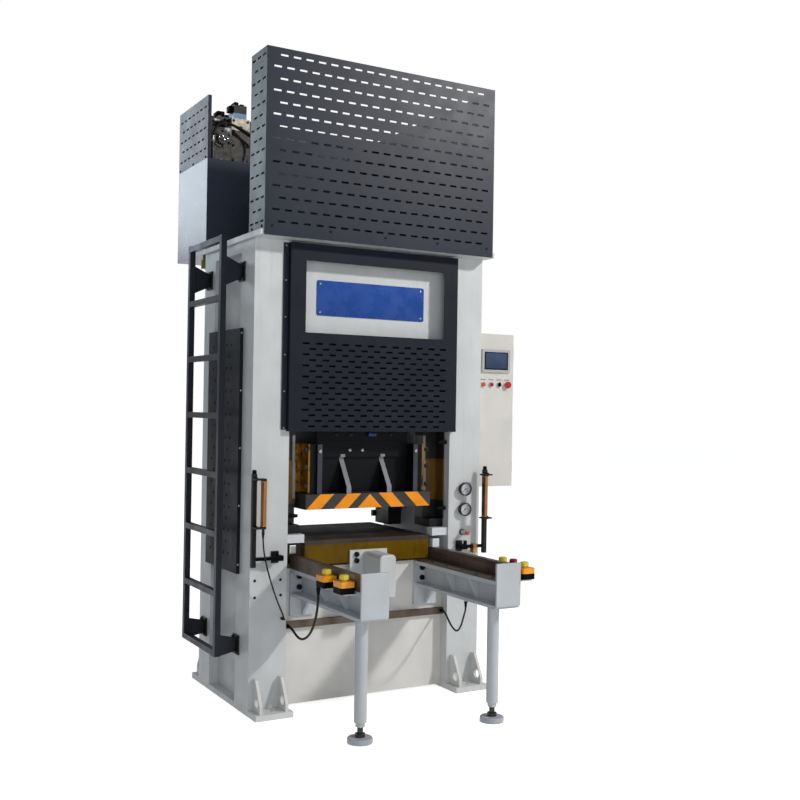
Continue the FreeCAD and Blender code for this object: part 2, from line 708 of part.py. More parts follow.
def slide_body():
    """The welded box above the base: columns, ribs, webs, gussets and deck."""
    rib_outer = COLUMN_OUTER - COLUMN_WIDTH
    rib_inner = rib_outer - RIB_THICKNESS
    column = box(rib_outer, COLUMN_OUTER, -COLUMN_HALF_DEPTH, COLUMN_HALF_DEPTH,
                 SLIDE_BASE_TOP, COLUMN_TOP)
    rib = box(rib_inner, rib_outer, -RIB_HALF_DEPTH, RIB_HALF_DEPTH, SLIDE_BASE_TOP, COLUMN_TOP)
    web = box(-rib_inner, rib_inner, -WEB_Y - WEB_THICKNESS / 2, -WEB_Y + WEB_THICKNESS / 2,
              SLIDE_BASE_TOP, DECK_TOP)
    deck = box(-rib_inner, rib_inner, -DECK_HALF_DEPTH, DECK_HALF_DEPTH,
               DECK_TOP - DECK_THICKNESS, DECK_TOP)
    wall = box(-rib_inner, rib_inner, -DECK_HALF_DEPTH, -DECK_HALF_DEPTH + DECK_WALL,
               DECK_TOP, DECK_TOP + DECK_WALL_HEIGHT)
    flange = cylinder(ROD_FLANGE_RADIUS, V(0, 0, DECK_TOP), V(0, 0, DECK_TOP + ROD_FLANGE_HEIGHT))
    pieces = left_and_right(column) + left_and_right(rib) + front_and_back(web) + front_and_back(wall)
    pieces += [deck, flange] + left_and_right(web_gusset())
    socket = cylinder(ROD_RADIUS, V(0, 0, DECK_TOP), V(0, 0, DECK_TOP + ROD_FLANGE_HEIGHT))
    return [fused(pieces).cut(socket)]


def web_gusset():
    """A plate across the whole slide whose ends slope back towards the deck."""
    outline = [(-WEB_GUSSET_FOOT, SLIDE_BASE_TOP),
               (-WEB_GUSSET_FOOT, SLIDE_BASE_TOP + WEB_GUSSET_TOE),
               (-WEB_GUSSET_HEAD, DECK_TOP - DECK_THICKNESS),
               (WEB_GUSSET_HEAD, DECK_TOP - DECK_THICKNESS),
               (WEB_GUSSET_FOOT, SLIDE_BASE_TOP + WEB_GUSSET_TOE),
               (WEB_GUSSET_FOOT, SLIDE_BASE_TOP)]
    x_low = WEB_GUSSET_X - WEB_GUSSET_THICKNESS / 2
    return side_prism(outline, x_low, x_low + WEB_GUSSET_THICKNESS)


def slide_guides():
    """Bronze liners and guide shoes on the outer faces of the columns."""
    shoe_face = HALF_OPENING - GIB_LENGTH - SLIDE_FIT
    shoe_end = LINER_START - SHOE_DEPTH
    outline = [(COLUMN_OUTER, -COLUMN_HALF_DEPTH), (COLUMN_OUTER + LINER_THICKNESS, -COLUMN_HALF_DEPTH),
               (COLUMN_OUTER + LINER_THICKNESS, -LINER_START), (shoe_face, -LINER_START),
               (shoe_face, -shoe_end), (COLUMN_OUTER, -shoe_end)]
    corners = [V(x, y, SHOE_BOTTOM) for x, y in outline]
    guide = prism(corners, V(0, 0, COLUMN_TOP - SHOE_BOTTOM))
    corner = front_and_back(guide)
    return corner + [mirrored(solid) for solid in corner]


def piston_rod():
    """The chromed rod with its dark collar, seated in the flange on the slide."""
    collar_low = DECK_TOP + ROD_FLANGE_HEIGHT
    collar_high = collar_low + ROD_COLLAR_HEIGHT
    profile = [(0, DECK_TOP), (ROD_RADIUS, DECK_TOP), (ROD_RADIUS, collar_low),
               (ROD_COLLAR_RADIUS, collar_low), (ROD_COLLAR_RADIUS, collar_high),
               (ROD_RADIUS, collar_high), (ROD_RADIUS, ROD_TOP), (0, ROD_TOP)]
    return [turned(profile, ORIGIN, Z_AXIS)]


def main_cylinder():
    """The cylinder hangs by its flange under the crown beam."""
    bore = ROD_RADIUS + RUNNING_FIT
    flange_low = CROWN_BOTTOM - CYLINDER_FLANGE_THICKNESS
    gland_low = flange_low - CYLINDER_GLAND_HEIGHT
    inside_top = CYLINDER_TOP - CYLINDER_CAP
    profile = [(bore, gland_low), (CYLINDER_GLAND_RADIUS, gland_low),
               (CYLINDER_GLAND_RADIUS, flange_low), (CYLINDER_FLANGE_RADIUS, flange_low),
               (CYLINDER_FLANGE_RADIUS, CROWN_BOTTOM), (CYLINDER_RADIUS, CROWN_BOTTOM),
               (CYLINDER_RADIUS, CYLINDER_TOP), (0, CYLINDER_TOP), (0, inside_top), (bore, inside_top)]
    return [fused([turned(profile, ORIGIN, Z_AXIS), cylinder_port()])]


def cylinder_port():
    """The fitting on the side of the cylinder that the pressure hose meets."""
    x, y, z = PRESSURE_HOSE_ROUTE[-1]
    return cylinder(RISER_RADIUS, V(x, y, z), V(-CYLINDER_RADIUS + HOLE_CLEARANCE, y, z))


# ---- Covers and guards --------------------------------------------------

def slots_along(length, slot_length, margin, pitch):
    """How many slots of a row fit between the margins."""
    return int((length - 2 * margin - slot_length) / pitch) + 1


def slot_rows(columns, rows, pitch, row_pitch, short_first=False):
    """Middles of staggered slots from the top row down, every second row one slot shorter."""
    places = []
    for row in range(rows):
        short = row % 2 == (0 if short_first else 1)
        count = columns - 1 if short else columns
        start = -pitch * (count - 1) / 2
        for column in range(count):
            places.append((start + pitch * column, row_pitch * (rows - 1 - row)))
    return places


def front_slots(places, length, height, y_low, y_high, lowest):
    cutters = []
    for x, up in places:
        z = lowest + up
        cutters.append(box(x - length / 2, x + length / 2, y_low, y_high, z - height / 2, z + height / 2))
    return cutters


def side_slots(places, length, height, x_low, x_high, middle_y, lowest):
    cutters = []
    for along, up in places:
        y = middle_y + along
        z = lowest + up
        cutters.append(box(x_low, x_high, y - length / 2, y + length / 2, z - height / 2, z + height / 2))
    return cutters


def front_cover():
    """A folded sheet tray over the crown, with a window, staggered slots and a liner behind them."""
    back = -HALF_DEPTH
    front = back - COVER_FOLD
    tray = box(-COVER_HALF, COVER_HALF, front, back, COVER_BOTTOM, COVER_TOP)
    inside = box(-COVER_HALF + SHEET, COVER_HALF - SHEET, front + SHEET, back,
                 COVER_BOTTOM + SHEET, COVER_TOP - SHEET)
    window = box(-WINDOW_HALF, WINDOW_HALF, front, front + SHEET, WINDOW_BOTTOM, WINDOW_TOP)
    columns = slots_along(2 * COVER_HALF, COVER_SLOT_LENGTH, COVER_SLOT_MARGIN, COVER_SLOT_PITCH)
    rows = int((WINDOW_BOTTOM - COVER_BOTTOM - COVER_ROW_MARGIN - COVER_ROW_HEAD) / COVER_ROW_PITCH) + 1
    slots = front_slots(slot_rows(columns, rows, COVER_SLOT_PITCH, COVER_ROW_PITCH),
                        COVER_SLOT_LENGTH, COVER_SLOT_HEIGHT, front, front + SHEET,
                        COVER_BOTTOM + COVER_ROW_MARGIN)
    liner = box(-COVER_HALF + SHEET, COVER_HALF - SHEET, back - SHEET, back,
                COVER_BOTTOM + SHEET, COVER_LINER_TOP)
    return [fused([tray.cut([inside, window] + slots), liner])]


def upper_guard():
    """Sheet round the hydraulics: slotted front and left return, right side and rear panel."""
    front = -GUARD_FRONT
    columns = slots_along(2 * GUARD_HALF, GUARD_SLOT_LENGTH, GUARD_SLOT_MARGIN, GUARD_SLOT_PITCH)
    rows = int((GUARD_HEIGHT - 2 * GUARD_SLOT_MARGIN) / GUARD_ROW_PITCH) + 1
    lowest = CROWN_PLATE_TOP + GUARD_ROW_MARGIN
    panel = box(-GUARD_HALF, GUARD_HALF, front, front + SHEET, CROWN_PLATE_TOP - GUARD_DROP, GUARD_TOP)
    places = slot_rows(columns, rows, GUARD_SLOT_PITCH, GUARD_ROW_PITCH, short_first=True)
    panel = panel.cut(front_slots(places, GUARD_SLOT_LENGTH, GUARD_SLOT_HEIGHT, front, front + SHEET, lowest))
    left = box(-GUARD_HALF, -GUARD_HALF + SHEET, front, front + GUARD_RETURN, CROWN_PLATE_TOP, GUARD_TOP)
    side_columns = slots_along(GUARD_RETURN, GUARD_SLOT_LENGTH, 0, GUARD_SLOT_PITCH)
    side_places = slot_rows(side_columns, rows, GUARD_SLOT_PITCH, GUARD_ROW_PITCH)
    left = left.cut(side_slots(side_places, GUARD_SLOT_LENGTH, GUARD_SLOT_HEIGHT, -GUARD_HALF,
                               -GUARD_HALF + SHEET, front + GUARD_RETURN / 2, lowest))
    outline = [(front, CROWN_PLATE_TOP), (HALF_DEPTH, CROWN_PLATE_TOP), (HALF_DEPTH, TANK_TOP),
               (TANK_BACK, TANK_TOP), (TANK_BACK, GUARD_TOP), (front, GUARD_TOP)]
    right = side_prism(outline, GUARD_HALF - SHEET, GUARD_HALF)
    rear = box(GUARD_REAR_LEFT, GUARD_HALF, TANK_BACK - SHEET, TANK_BACK, TANK_TOP, GUARD_TOP)
    return [fused([panel, left, right, rear])]


def tank_guard():
    """The slotted sheet that stands on the tank's left edge, folded over at the front."""
    left = -HALF_FRAME
    top = TANK_TOP + TANK_GUARD_HEIGHT
    sheet = box(left, left + SHEET, HALF_DEPTH, TANK_BACK, TANK_TOP, top)
    fold = box(left, left + TANK_GUARD_FOLD, HALF_DEPTH, HALF_DEPTH + SHEET, TANK_TOP, top)
    columns = slots_along(TANK_DEPTH, GUARD_SLOT_LENGTH, TANK_GUARD_FOLD, GUARD_SLOT_PITCH)
    rows = int((TANK_GUARD_HEIGHT - 2 * TANK_GUARD_MARGIN) / GUARD_ROW_PITCH)
    places = slot_rows(columns, rows, GUARD_SLOT_PITCH, GUARD_ROW_PITCH)
    lowest = TANK_TOP + (TANK_GUARD_HEIGHT - GUARD_ROW_PITCH * (rows - 1)) / 2
    slots = side_slots(places, GUARD_SLOT_LENGTH, GUARD_SLOT_HEIGHT, left, left + SHEET,
                       (HALF_DEPTH + TANK_BACK) / 2, lowest)
    return [fused([sheet, fold]).cut(slots)]


def side_cover():
    """A folded tray on the outside of the left upright."""
    outer = -HALF_FRAME - SIDE_COVER_THICKNESS
    tray = box(outer, -HALF_FRAME, SIDE_COVER_FRONT, SIDE_COVER_BACK, SIDE_COVER_BOTTOM, SIDE_COVER_TOP)
    inside = box(outer + SHEET, -HALF_FRAME, SIDE_COVER_FRONT + SHEET, SIDE_COVER_BACK - SHEET,
                 SIDE_COVER_BOTTOM + SHEET, SIDE_COVER_TOP - SHEET)
    return [tray.cut(inside)]


# ---- Ladder -------------------------------------------------------------

def ladder_rails():
    """Two square tubes on triangular standoffs with flanges on the upright."""
    inner = -HALF_FRAME - LADDER_STANDOFF
    outer = inner - LADDER_TUBE
    solids = []
    for y in (LADDER_FRONT, LADDER_BACK):
        tube = box(outer, inner, y - LADDER_TUBE / 2, y + LADDER_TUBE / 2, LADDER_BOTTOM, LADDER_TOP)
        hollow = box(outer + LADDER_WALL, inner - LADDER_WALL, y - LADDER_TUBE / 2 + LADDER_WALL,
                     y + LADDER_TUBE / 2 - LADDER_WALL, LADDER_BOTTOM, LADDER_TOP)
        solids.append(tube.cut(hollow))
        solids += [standoff(y, level, inner) for level in STANDOFF_LEVELS]
    return solids


def standoff(y, level, inner):
    flange_face = -HALF_FRAME - STANDOFF_FLANGE
    half = STANDOFF_FLANGE_HEIGHT / 2
    root = min(STANDOFF_ROOT / 2, level - LADDER_BOTTOM)
    flange = box(flange_face, -HALF_FRAME, y - STANDOFF_FLANGE_WIDTH / 2,
                 y + STANDOFF_FLANGE_WIDTH / 2, level - half, level + half)
    outline = [(inner, level - root), (inner, level + root), (flange_face, level + STANDOFF_TIP),
               (flange_face, level - min(STANDOFF_TIP, root))]
    plate = front_prism(outline, y - STANDOFF_PLATE / 2, y + STANDOFF_PLATE / 2)
    return fused([plate, flange])


def ladder_rungs():
    inner = -HALF_FRAME - LADDER_STANDOFF
    start = LADDER_FRONT + LADDER_TUBE / 2
    end = LADDER_BACK - LADDER_TUBE / 2
    rungs = []
    for step in range(RUNG_COUNT):
        low = LADDER_BOTTOM + RUNG_PITCH * step
        rungs.append(box(inner - LADDER_TUBE, inner, start, end, low, low + LADDER_TUBE))
    return rungs


# ---- Oil tank and hydraulics --------------------------------------------

def oil_tank():
    """A welded tank with a lid plate, on two brackets behind the uprights."""
    body = box(-HALF_FRAME, HALF_FRAME, HALF_DEPTH, TANK_BACK, TANK_BOTTOM, TANK_TOP - TANK_LID)
    lid = box(-HALF_FRAME, HALF_FRAME, HALF_DEPTH, TANK_BACK + TANK_LID_LIP, TANK_TOP - TANK_LID, TANK_TOP)
    outline = [(HALF_DEPTH, TANK_BOTTOM), (HALF_DEPTH + TANK_BRACKET_REACH, TANK_BOTTOM),
               (HALF_DEPTH, TANK_BOTTOM - TANK_BRACKET_DROP)]
    bracket = side_prism(outline, TANK_BRACKET_X, TANK_BRACKET_X + TANK_BRACKET_THICKNESS)
    return [fused([body, lid])] + left_and_right(bracket) + [drain_valve()]


def drain_valve():
    """The small valve under the left end of the tank."""
    top = V(DRAIN_X, DRAIN_Y, TANK_BOTTOM)
    neck = top - Z_AXIS * (DRAIN_LENGTH * 0.35)
    end = top - Z_AXIS * DRAIN_LENGTH
    return fused([cylinder(DRAIN_RADIUS * 0.6, neck, top), cylinder(DRAIN_RADIUS, end, neck)])


def pump_motor():
    """Foot-mounted motor, bell housing and pump in one line along X."""
    level = TANK_TOP + MOTOR_HEIGHT
    end = MOTOR_START + MOTOR_LENGTH
    bell_end = MOTOR_START - BELL_LENGTH
    pump_end = bell_end - PUMP_LENGTH
    cowl = end - MOTOR_COWL_LENGTH
    cowl_radius = MOTOR_RADIUS + MOTOR_COWL_LIP
    profile = [(0, MOTOR_START), (BELL_RADIUS, MOTOR_START), (MOTOR_RADIUS, MOTOR_START + MOTOR_FLANGE),
               (MOTOR_RADIUS, cowl), (cowl_radius, cowl), (cowl_radius, end - MOTOR_COWL_CONE),
               (MOTOR_RADIUS - MOTOR_COWL_INSET, end), (0, end)]
    centre = V(0, MOTOR_Y, level)
    motor = turned(profile, centre, X_AXIS)
    foot_x = (MOTOR_START + end - MOTOR_FOOT_LENGTH) / 2
    foot = box(foot_x, foot_x + MOTOR_FOOT_LENGTH, MOTOR_Y - MOTOR_FOOT_WIDTH / 2,
               MOTOR_Y + MOTOR_FOOT_WIDTH / 2, TANK_TOP, level - MOTOR_RADIUS + MOTOR_FOOT_SINK)
    bell = turned([(0, bell_end), (BELL_RADIUS - BELL_TAPER, bell_end), (BELL_RADIUS, MOTOR_START),
                   (0, MOTOR_START)], centre, X_AXIS)
    pump = turned([(0, pump_end), (PUMP_RADIUS, pump_end), (PUMP_RADIUS, bell_end), (0, bell_end)],
                  centre, X_AXIS)
    return [fused([motor, foot]), bell, pump]


def valve_block():
    """Manifold with its solenoid valve, side valve on a column, and return filter."""
    half_w = MANIFOLD_WIDTH / 2
    half_d = MANIFOLD_DEPTH / 2
    top = TANK_TOP + MANIFOLD_HEIGHT
    block = box(MANIFOLD_X - half_w, MANIFOLD_X + half_w, MANIFOLD_Y - half_d, MANIFOLD_Y + half_d,
                TANK_TOP, top)
    port_z = top - half_w
    port = cylinder(MANIFOLD_PORT_RADIUS, V(MANIFOLD_X, MANIFOLD_Y - half_d, port_z),
                    V(MANIFOLD_X, MANIFOLD_Y - half_d + 30, port_z))
    spacer = box(MANIFOLD_X - SOLENOID_WIDTH / 2, MANIFOLD_X + SOLENOID_WIDTH / 2,
                 MANIFOLD_Y - SOLENOID_DEPTH / 2, MANIFOLD_Y + SOLENOID_DEPTH / 2,
                 top, top + SPACER_HEIGHT)
    coil = box(MANIFOLD_X - SOLENOID_WIDTH / 2, MANIFOLD_X + SOLENOID_WIDTH / 2,
               MANIFOLD_Y - SOLENOID_DEPTH / 2, MANIFOLD_Y + SOLENOID_DEPTH / 2,
               top + SPACER_HEIGHT, top + SPACER_HEIGHT + SOLENOID_HEIGHT)
    return [block.cut(port), spacer, coil] + side_valve() + return_filter() + risers()


def side_valve():
    level = TANK_TOP + SIDE_VALVE_LEVEL
    right = MANIFOLD_X - MANIFOLD_WIDTH / 2
    left = right - SIDE_VALVE_WIDTH
    y_low = MANIFOLD_Y - VALVE_COLUMN_WIDTH / 2
    body = box(left, right, y_low, y_low + VALVE_COLUMN_WIDTH, level, level + SIDE_VALVE_HEIGHT)
    coil_start = V(left + SIDE_VALVE_HEIGHT / 2, y_low, level + SIDE_VALVE_HEIGHT / 2)
    coil = cylinder(SIDE_VALVE_HEIGHT * 0.45, coil_start - Y_AXIS * SIDE_VALVE_COIL, coil_start)
    return [fused([body, coil])]


def risers():
    """Steel pipes up from the lid to the left ends of the hoses, and the return fitting."""
    x, y, z = PRESSURE_HOSE_ROUTE[0]
    corner = V(RISER_X, y, z)
    elbow = fused([cylinder(RISER_RADIUS, V(RISER_X, y, TANK_TOP), corner + Z_AXIS * RISER_RADIUS),
                   cylinder(RISER_RADIUS * 0.9, corner, V(x, y, z))])
    rx, ry, rz = RETURN_HOSE_ROUTE[0]
    ex, ey, ez = RETURN_HOSE_ROUTE[-1]
    return [elbow, cylinder(RISER_RADIUS * 0.8, V(rx, ry, TANK_TOP), V(rx, ry, rz)),
            cylinder(RISER_RADIUS, V(ex, ey, TANK_TOP), V(ex, ey, ez))]


def return_filter():
    """Round filter housing lying along Y in a saddle on the lid."""
    level = TANK_TOP + FILTER_HEIGHT
    start = V(FILTER_X, FILTER_FRONT, level)
    end = start + Y_AXIS * FILTER_LENGTH
    body = cylinder(FILTER_RADIUS, start, end)
    cap = cylinder(FILTER_CAP_RADIUS, start - Y_AXIS * FILTER_CAP_LENGTH, start)
    saddle = box(FILTER_X - FILTER_BASE_WIDTH / 2, FILTER_X + FILTER_BASE_WIDTH / 2,
                 FILTER_FRONT + SADDLE_FRONT_GAP, FILTER_FRONT + FILTER_LENGTH - SADDLE_BACK_GAP,
                 TANK_TOP, TANK_TOP + SADDLE_HEIGHT)
    return [fused([body, cap, saddle])]


# ---- Arms, rails and legs -----------------------------------------------

def arm(places, stop_places, box_bottom):
    """A welded run-out arm: flanges, web, ribs, root and end plates, box brackets."""
    root_front = -BED_HALF_DEPTH - ARM_PLATE
    end_back = -ARM_END + ARM_END_PLATE
    top_low = BED_TOP - ARM_FLANGE
    web_low = ARM_BOTTOM + ARM_PLATE
    web_x = ARM_CENTRE - ARM_PLATE / 2
    pieces = [
        box(ARM_INNER, ARM_OUTER, end_back, root_front, top_low, BED_TOP),
        box(ARM_INNER, ARM_OUTER, end_back, root_front, ARM_BOTTOM, web_low),
        box(web_x, web_x + ARM_PLATE, end_back, root_front, web_low, top_low),
        box(ARM_INNER, ARM_OUTER, root_front, -BED_HALF_DEPTH, ARM_ROOT_BOTTOM, BED_TOP),
        box(ARM_INNER, ARM_OUTER, -ARM_END, end_back, ARM_END_BOTTOM, ARM_END_TOP)]
    gusset = [(root_front, ARM_BOTTOM), (root_front, ARM_ROOT_BOTTOM),
              (root_front - ARM_GUSSET_REACH, ARM_BOTTOM)]
    pieces.append(side_prism(gusset, web_x, web_x + ARM_PLATE))
    for y in ARM_RIB_PLACES:
        pieces += arm_ribs(y, web_x, web_low, top_low)
    for y in places:
        pieces.append(box(ARM_OUTER, BRACKET_REACH, y - BOX_LENGTH / 2, y + BOX_LENGTH / 2,
                          box_bottom - BRACKET_THICKNESS, box_bottom))
    for y in stop_places:
        pieces.append(cable_clip())
        pieces.append(box(ARM_OUTER, BOX_CENTRE + ARM_STOP_BASE / 2, y - ARM_STOP_BASE / 2,
                          y + ARM_STOP_BASE / 2, box_bottom - BRACKET_THICKNESS, box_bottom))
    return fused(pieces)


def cable_clip():
    """The clip under the right arm where its cable ends."""
    x, y, z = ARM_CABLE_ROUTE[-1]
    return cylinder(GLAND_RADIUS, V(x, y, z), V(x, y, ARM_BOTTOM))


def arm_ribs(y, web_x, low, high):
    """Ribs on both sides of the web, narrower at the bottom."""
    y_low = y - ARM_RIB_THICKNESS / 2
    inner = [(web_x, low), (web_x - ARM_RIB_FOOT, low), (ARM_INNER + ARM_RIB_HEAD_GAP, high), (web_x, high)]
    outer_x = web_x + ARM_PLATE
    outer = [(outer_x, low), (outer_x + ARM_RIB_FOOT, low), (ARM_OUTER - ARM_RIB_HEAD_GAP, high),
             (outer_x, high)]
    return [front_prism(outline, y_low, y_low + ARM_RIB_THICKNESS) for outline in (inner, outer)]


def arm_bolt_places():
    half = ARM_BOLT_SPACING / 2
    return [(x, z) for x in (ARM_CENTRE - half, ARM_CENTRE + half) for z in ARM_BOLT_LEVELS]


def arm_bolts():
    """Hexagon bolt heads on the root plates."""
    root_front = -BED_HALF_DEPTH - ARM_PLATE
    bolts = []
    for x, z in arm_bolt_places():
        head = hexagon(ARM_BOLT_HEAD_RADIUS, ORIGIN, ARM_BOLT_HEAD)
        head.rotate(ORIGIN, X_AXIS, 90)
        head.translate(V(x, root_front, z))
        bolts += left_and_right(head)
    return bolts


def carriage_rails():
    """Hardened strips on the bed, rail plates on the arms and the guide bars beside them."""
    end_back = -ARM_END + ARM_END_PLATE
    strip = box(ARM_INNER, ARM_INNER + BED_STRIP_WIDTH, -BED_HALF_DEPTH, BED_HALF_DEPTH, BED_TOP, RAIL_TOP)
    plate = box(ARM_INNER, ARM_OUTER, end_back, -BED_HALF_DEPTH, BED_TOP, RAIL_TOP)
    guide_top = RAIL_TOP + RAIL_GUIDE_HEIGHT
    outline = [(GUIDE_INNER, RAIL_TOP), (ARM_OUTER, RAIL_TOP), (ARM_OUTER, guide_top),
               (GUIDE_INNER + RAIL_GUIDE_CHAMFER, guide_top), (GUIDE_INNER, guide_top - RAIL_GUIDE_CHAMFER)]
    guide = front_prism(outline, end_back, RAIL_GUIDE_END)
    return left_and_right(strip) + left_and_right(plate) + left_and_right(guide)


def leg_tubes():
    """A round leg with a threaded plug, and the lock nut under it."""
    bore = SCREW_RADIUS + RUNNING_FIT
    inside = LEG_RADIUS - LEG_WALL
    centre = V(ARM_CENTRE, LEG_Y, 0)
    profile = [(bore, LEG_BOTTOM), (LEG_RADIUS, LEG_BOTTOM), (LEG_RADIUS, ARM_BOTTOM),
               (0, ARM_BOTTOM), (0, ARM_BOTTOM - LEG_WALL), (inside, ARM_BOTTOM - LEG_WALL),
               (inside, LEG_BOTTOM + LEG_PLUG), (bore, LEG_BOTTOM + LEG_PLUG)]
    leg = turned(profile, centre, Z_AXIS)
    nut_low = centre + Z_AXIS * (LEG_BOTTOM - NUT_HEIGHT)
    nut = hexagon(NUT_RADIUS, nut_low, NUT_HEIGHT)
    nut = nut.cut(cylinder(bore, nut_low, nut_low + Z_AXIS * NUT_HEIGHT))
    return left_and_right(leg) + left_and_right(nut)


def hexagon(radius, centre, height):
    corners = [centre + V(radius * math.cos(math.radians(60 * k)), radius * math.sin(math.radians(60 * k)), 0)
               for k in range(6)]
    return prism(corners, Z_AXIS * height)


def foot():
    """Round floor pad, hub and levelling screw, turned in one piece."""
    hub_top = PAD_HEIGHT + HUB_HEIGHT
    profile = [(0, 0), (PAD_RADIUS, 0), (PAD_RADIUS, PAD_HEIGHT - PAD_BEVEL),
               (PAD_RADIUS - PAD_BEVEL, PAD_HEIGHT), (HUB_RADIUS, PAD_HEIGHT), (HUB_RADIUS, hub_top),
               (SCREW_RADIUS, hub_top), (SCREW_RADIUS, SCREW_TOP), (0, SCREW_TOP)]
    return turned(profile, V(ARM_CENTRE, LEG_Y, 0), Z_AXIS)


# ---- Rolling bolster ----------------------------------------------------

def bolster_carriage():
    """The carriage with a pocket for each wheel and a bore for each axle."""
    half = BOLSTER_HALF
    body = box(-half, half, -BOLSTER_FRONT, BOLSTER_FRONT, BOLSTER_BOTTOM, BOLSTER_TOP)
    cutters = []
    for y in (-WHEEL_Y, WHEEL_Y):
        cutters.append(cylinder(AXLE_RADIUS + RUNNING_FIT, V(-half, y, AXLE_LEVEL), V(half, y, AXLE_LEVEL)))
        cutters += left_and_right(wheel_pocket(y))
    return [body.cut(cutters)]


def wheel_pocket(y):
    half = WHEEL_WIDTH / 2 + POCKET_CLEARANCE
    reach = WHEEL_RADIUS + POCKET_CLEARANCE
    return box(WHEEL_X - half, WHEEL_X + half, y - reach, y + reach, BOLSTER_BOTTOM, AXLE_LEVEL + reach)


def bolster_plate():
    half = BOLSTER_HALF
    top = BOLSTER_TOP + BOLSTER_PLATE
    plate = box(-half, half, -BOLSTER_FRONT, BOLSTER_FRONT, BOLSTER_TOP, top)
    holes = []
    for x in (-DIE_HOLE_X, DIE_HOLE_X):
        for y in (-DIE_HOLE_Y, DIE_HOLE_Y):
            holes.append(cylinder(DIE_HOLE_RADIUS, V(x, y, BOLSTER_TOP), V(x, y, top)))
    return [plate.cut(holes)]


def wheelset(y):
    """Two wheels fixed on one axle."""
    half = BOLSTER_HALF - AXLE_END_INSET
    axle = cylinder(AXLE_RADIUS, V(-half, y, AXLE_LEVEL), V(half, y, AXLE_LEVEL))
    wheel = cylinder(WHEEL_RADIUS, V(WHEEL_X - WHEEL_WIDTH / 2, y, AXLE_LEVEL),
                     V(WHEEL_X + WHEEL_WIDTH / 2, y, AXLE_LEVEL))
    return [fused([axle] + left_and_right(wheel))]


def drive_unit():
    """Bracket plate and the rounded housing of the bolster drive."""
    back = -BOLSTER_FRONT
    plate_front = back - DRIVE_PLATE_THICKNESS
    front = plate_front - DRIVE_DEPTH
    plate = box(DRIVE_PLATE_LEFT, DRIVE_PLATE_RIGHT, plate_front, back, DRIVE_PLATE_BOTTOM, DRIVE_PLATE_TOP)
    right = DRIVE_LEFT + DRIVE_WIDTH
    top = DRIVE_BOTTOM + DRIVE_HEIGHT
    housing = box(DRIVE_LEFT, right, front, plate_front, DRIVE_BOTTOM, top)
    long_edges = [edge for edge in top_edges(housing, top) if edge.BoundBox.YLength > DRIVE_DEPTH / 2]
    housing = housing.makeFillet(DRIVE_CORNER, long_edges)
    front_edge = [edge for edge in housing.Edges
                  if abs(edge.BoundBox.YMax - front) < 1e-6 and edge.BoundBox.ZMax > top - DRIVE_CORNER]
    housing = housing.makeFillet(DRIVE_EDGE, front_edge)
    return [fused([plate, housing])]


# ---- Two-hand control ---------------------------------------------------

def box_places():
    """Middle and underside of each button box: two on the left arm, then two on the right."""
    left = [(-BOX_CENTRE, y, BOX_BOTTOM_LEFT) for y in BOX_PLACES_LEFT]
    return left + [(BOX_CENTRE, y, BOX_BOTTOM_RIGHT) for y in BOX_PLACES_RIGHT]


def stop_seat():
    return BOX_BOTTOM_RIGHT + ARM_STOP_BASE_HEIGHT


def button_box_bases():
    """Black lower halves, the stand of the emergency stop and the cable gland."""
    half = BOX_WIDTH / 2
    long_half = BOX_LENGTH / 2
    solids = [rounded_box(x - half, x + half, y - long_half, y + long_half, low, low + BOX_BASE_HEIGHT,
                          BOX_CORNER) for x, y, low in box_places()]
    gx, gy, gz = BOX_CABLE_ROUTE[0]
    gland = cylinder(GLAND_RADIUS, V(gx, gy, gz), V(gx, gy, BOX_BOTTOM_LEFT))
    solids[0] = fused([solids[0], gland])
    x, y = BOX_CENTRE, ARM_STOP_Y
    side = ARM_STOP_BASE / 2
    stand = box(x - side, x + side, y - side, y + side, BOX_BOTTOM_RIGHT, stop_seat())
    solids.append(stand.cut(button_bore(x, y, stop_seat())))
    return solids


def button_bore(x, y, top):
    radius = BUTTON_NECK_RADIUS + HOLE_CLEARANCE
    return cylinder(radius, V(x, y, top - BUTTON_NECK_DEPTH - BUTTON_GAP), V(x, y, top))


def button_box_tops():
    half = BOX_WIDTH / 2
    long_half = BOX_LENGTH / 2
    solids = []
    for x, y, low in box_places():
        middle = low + BOX_BASE_HEIGHT
        high = middle + BOX_TOP_HEIGHT
        top = rounded_box(x - half, x + half, y - long_half, y + long_half, middle, high, BOX_CORNER)
        solids.append(top.cut(button_bore(x, y, high)))
    return solids


def mushroom(x, y, seat, radius):
    """A push button head on a neck that slides in the box."""
    low = seat + BUTTON_GAP
    high = low + BUTTON_HEAD
    profile = [(0, seat - BUTTON_NECK_DEPTH), (BUTTON_NECK_RADIUS, seat - BUTTON_NECK_DEPTH),
               (BUTTON_NECK_RADIUS, low), (radius, low), (radius, high - BUTTON_BEVEL),
               (radius - BUTTON_BEVEL, high), (0, high)]
    return turned(profile, V(x, y, 0), Z_AXIS)


# ---- Light curtains -----------------------------------------------------

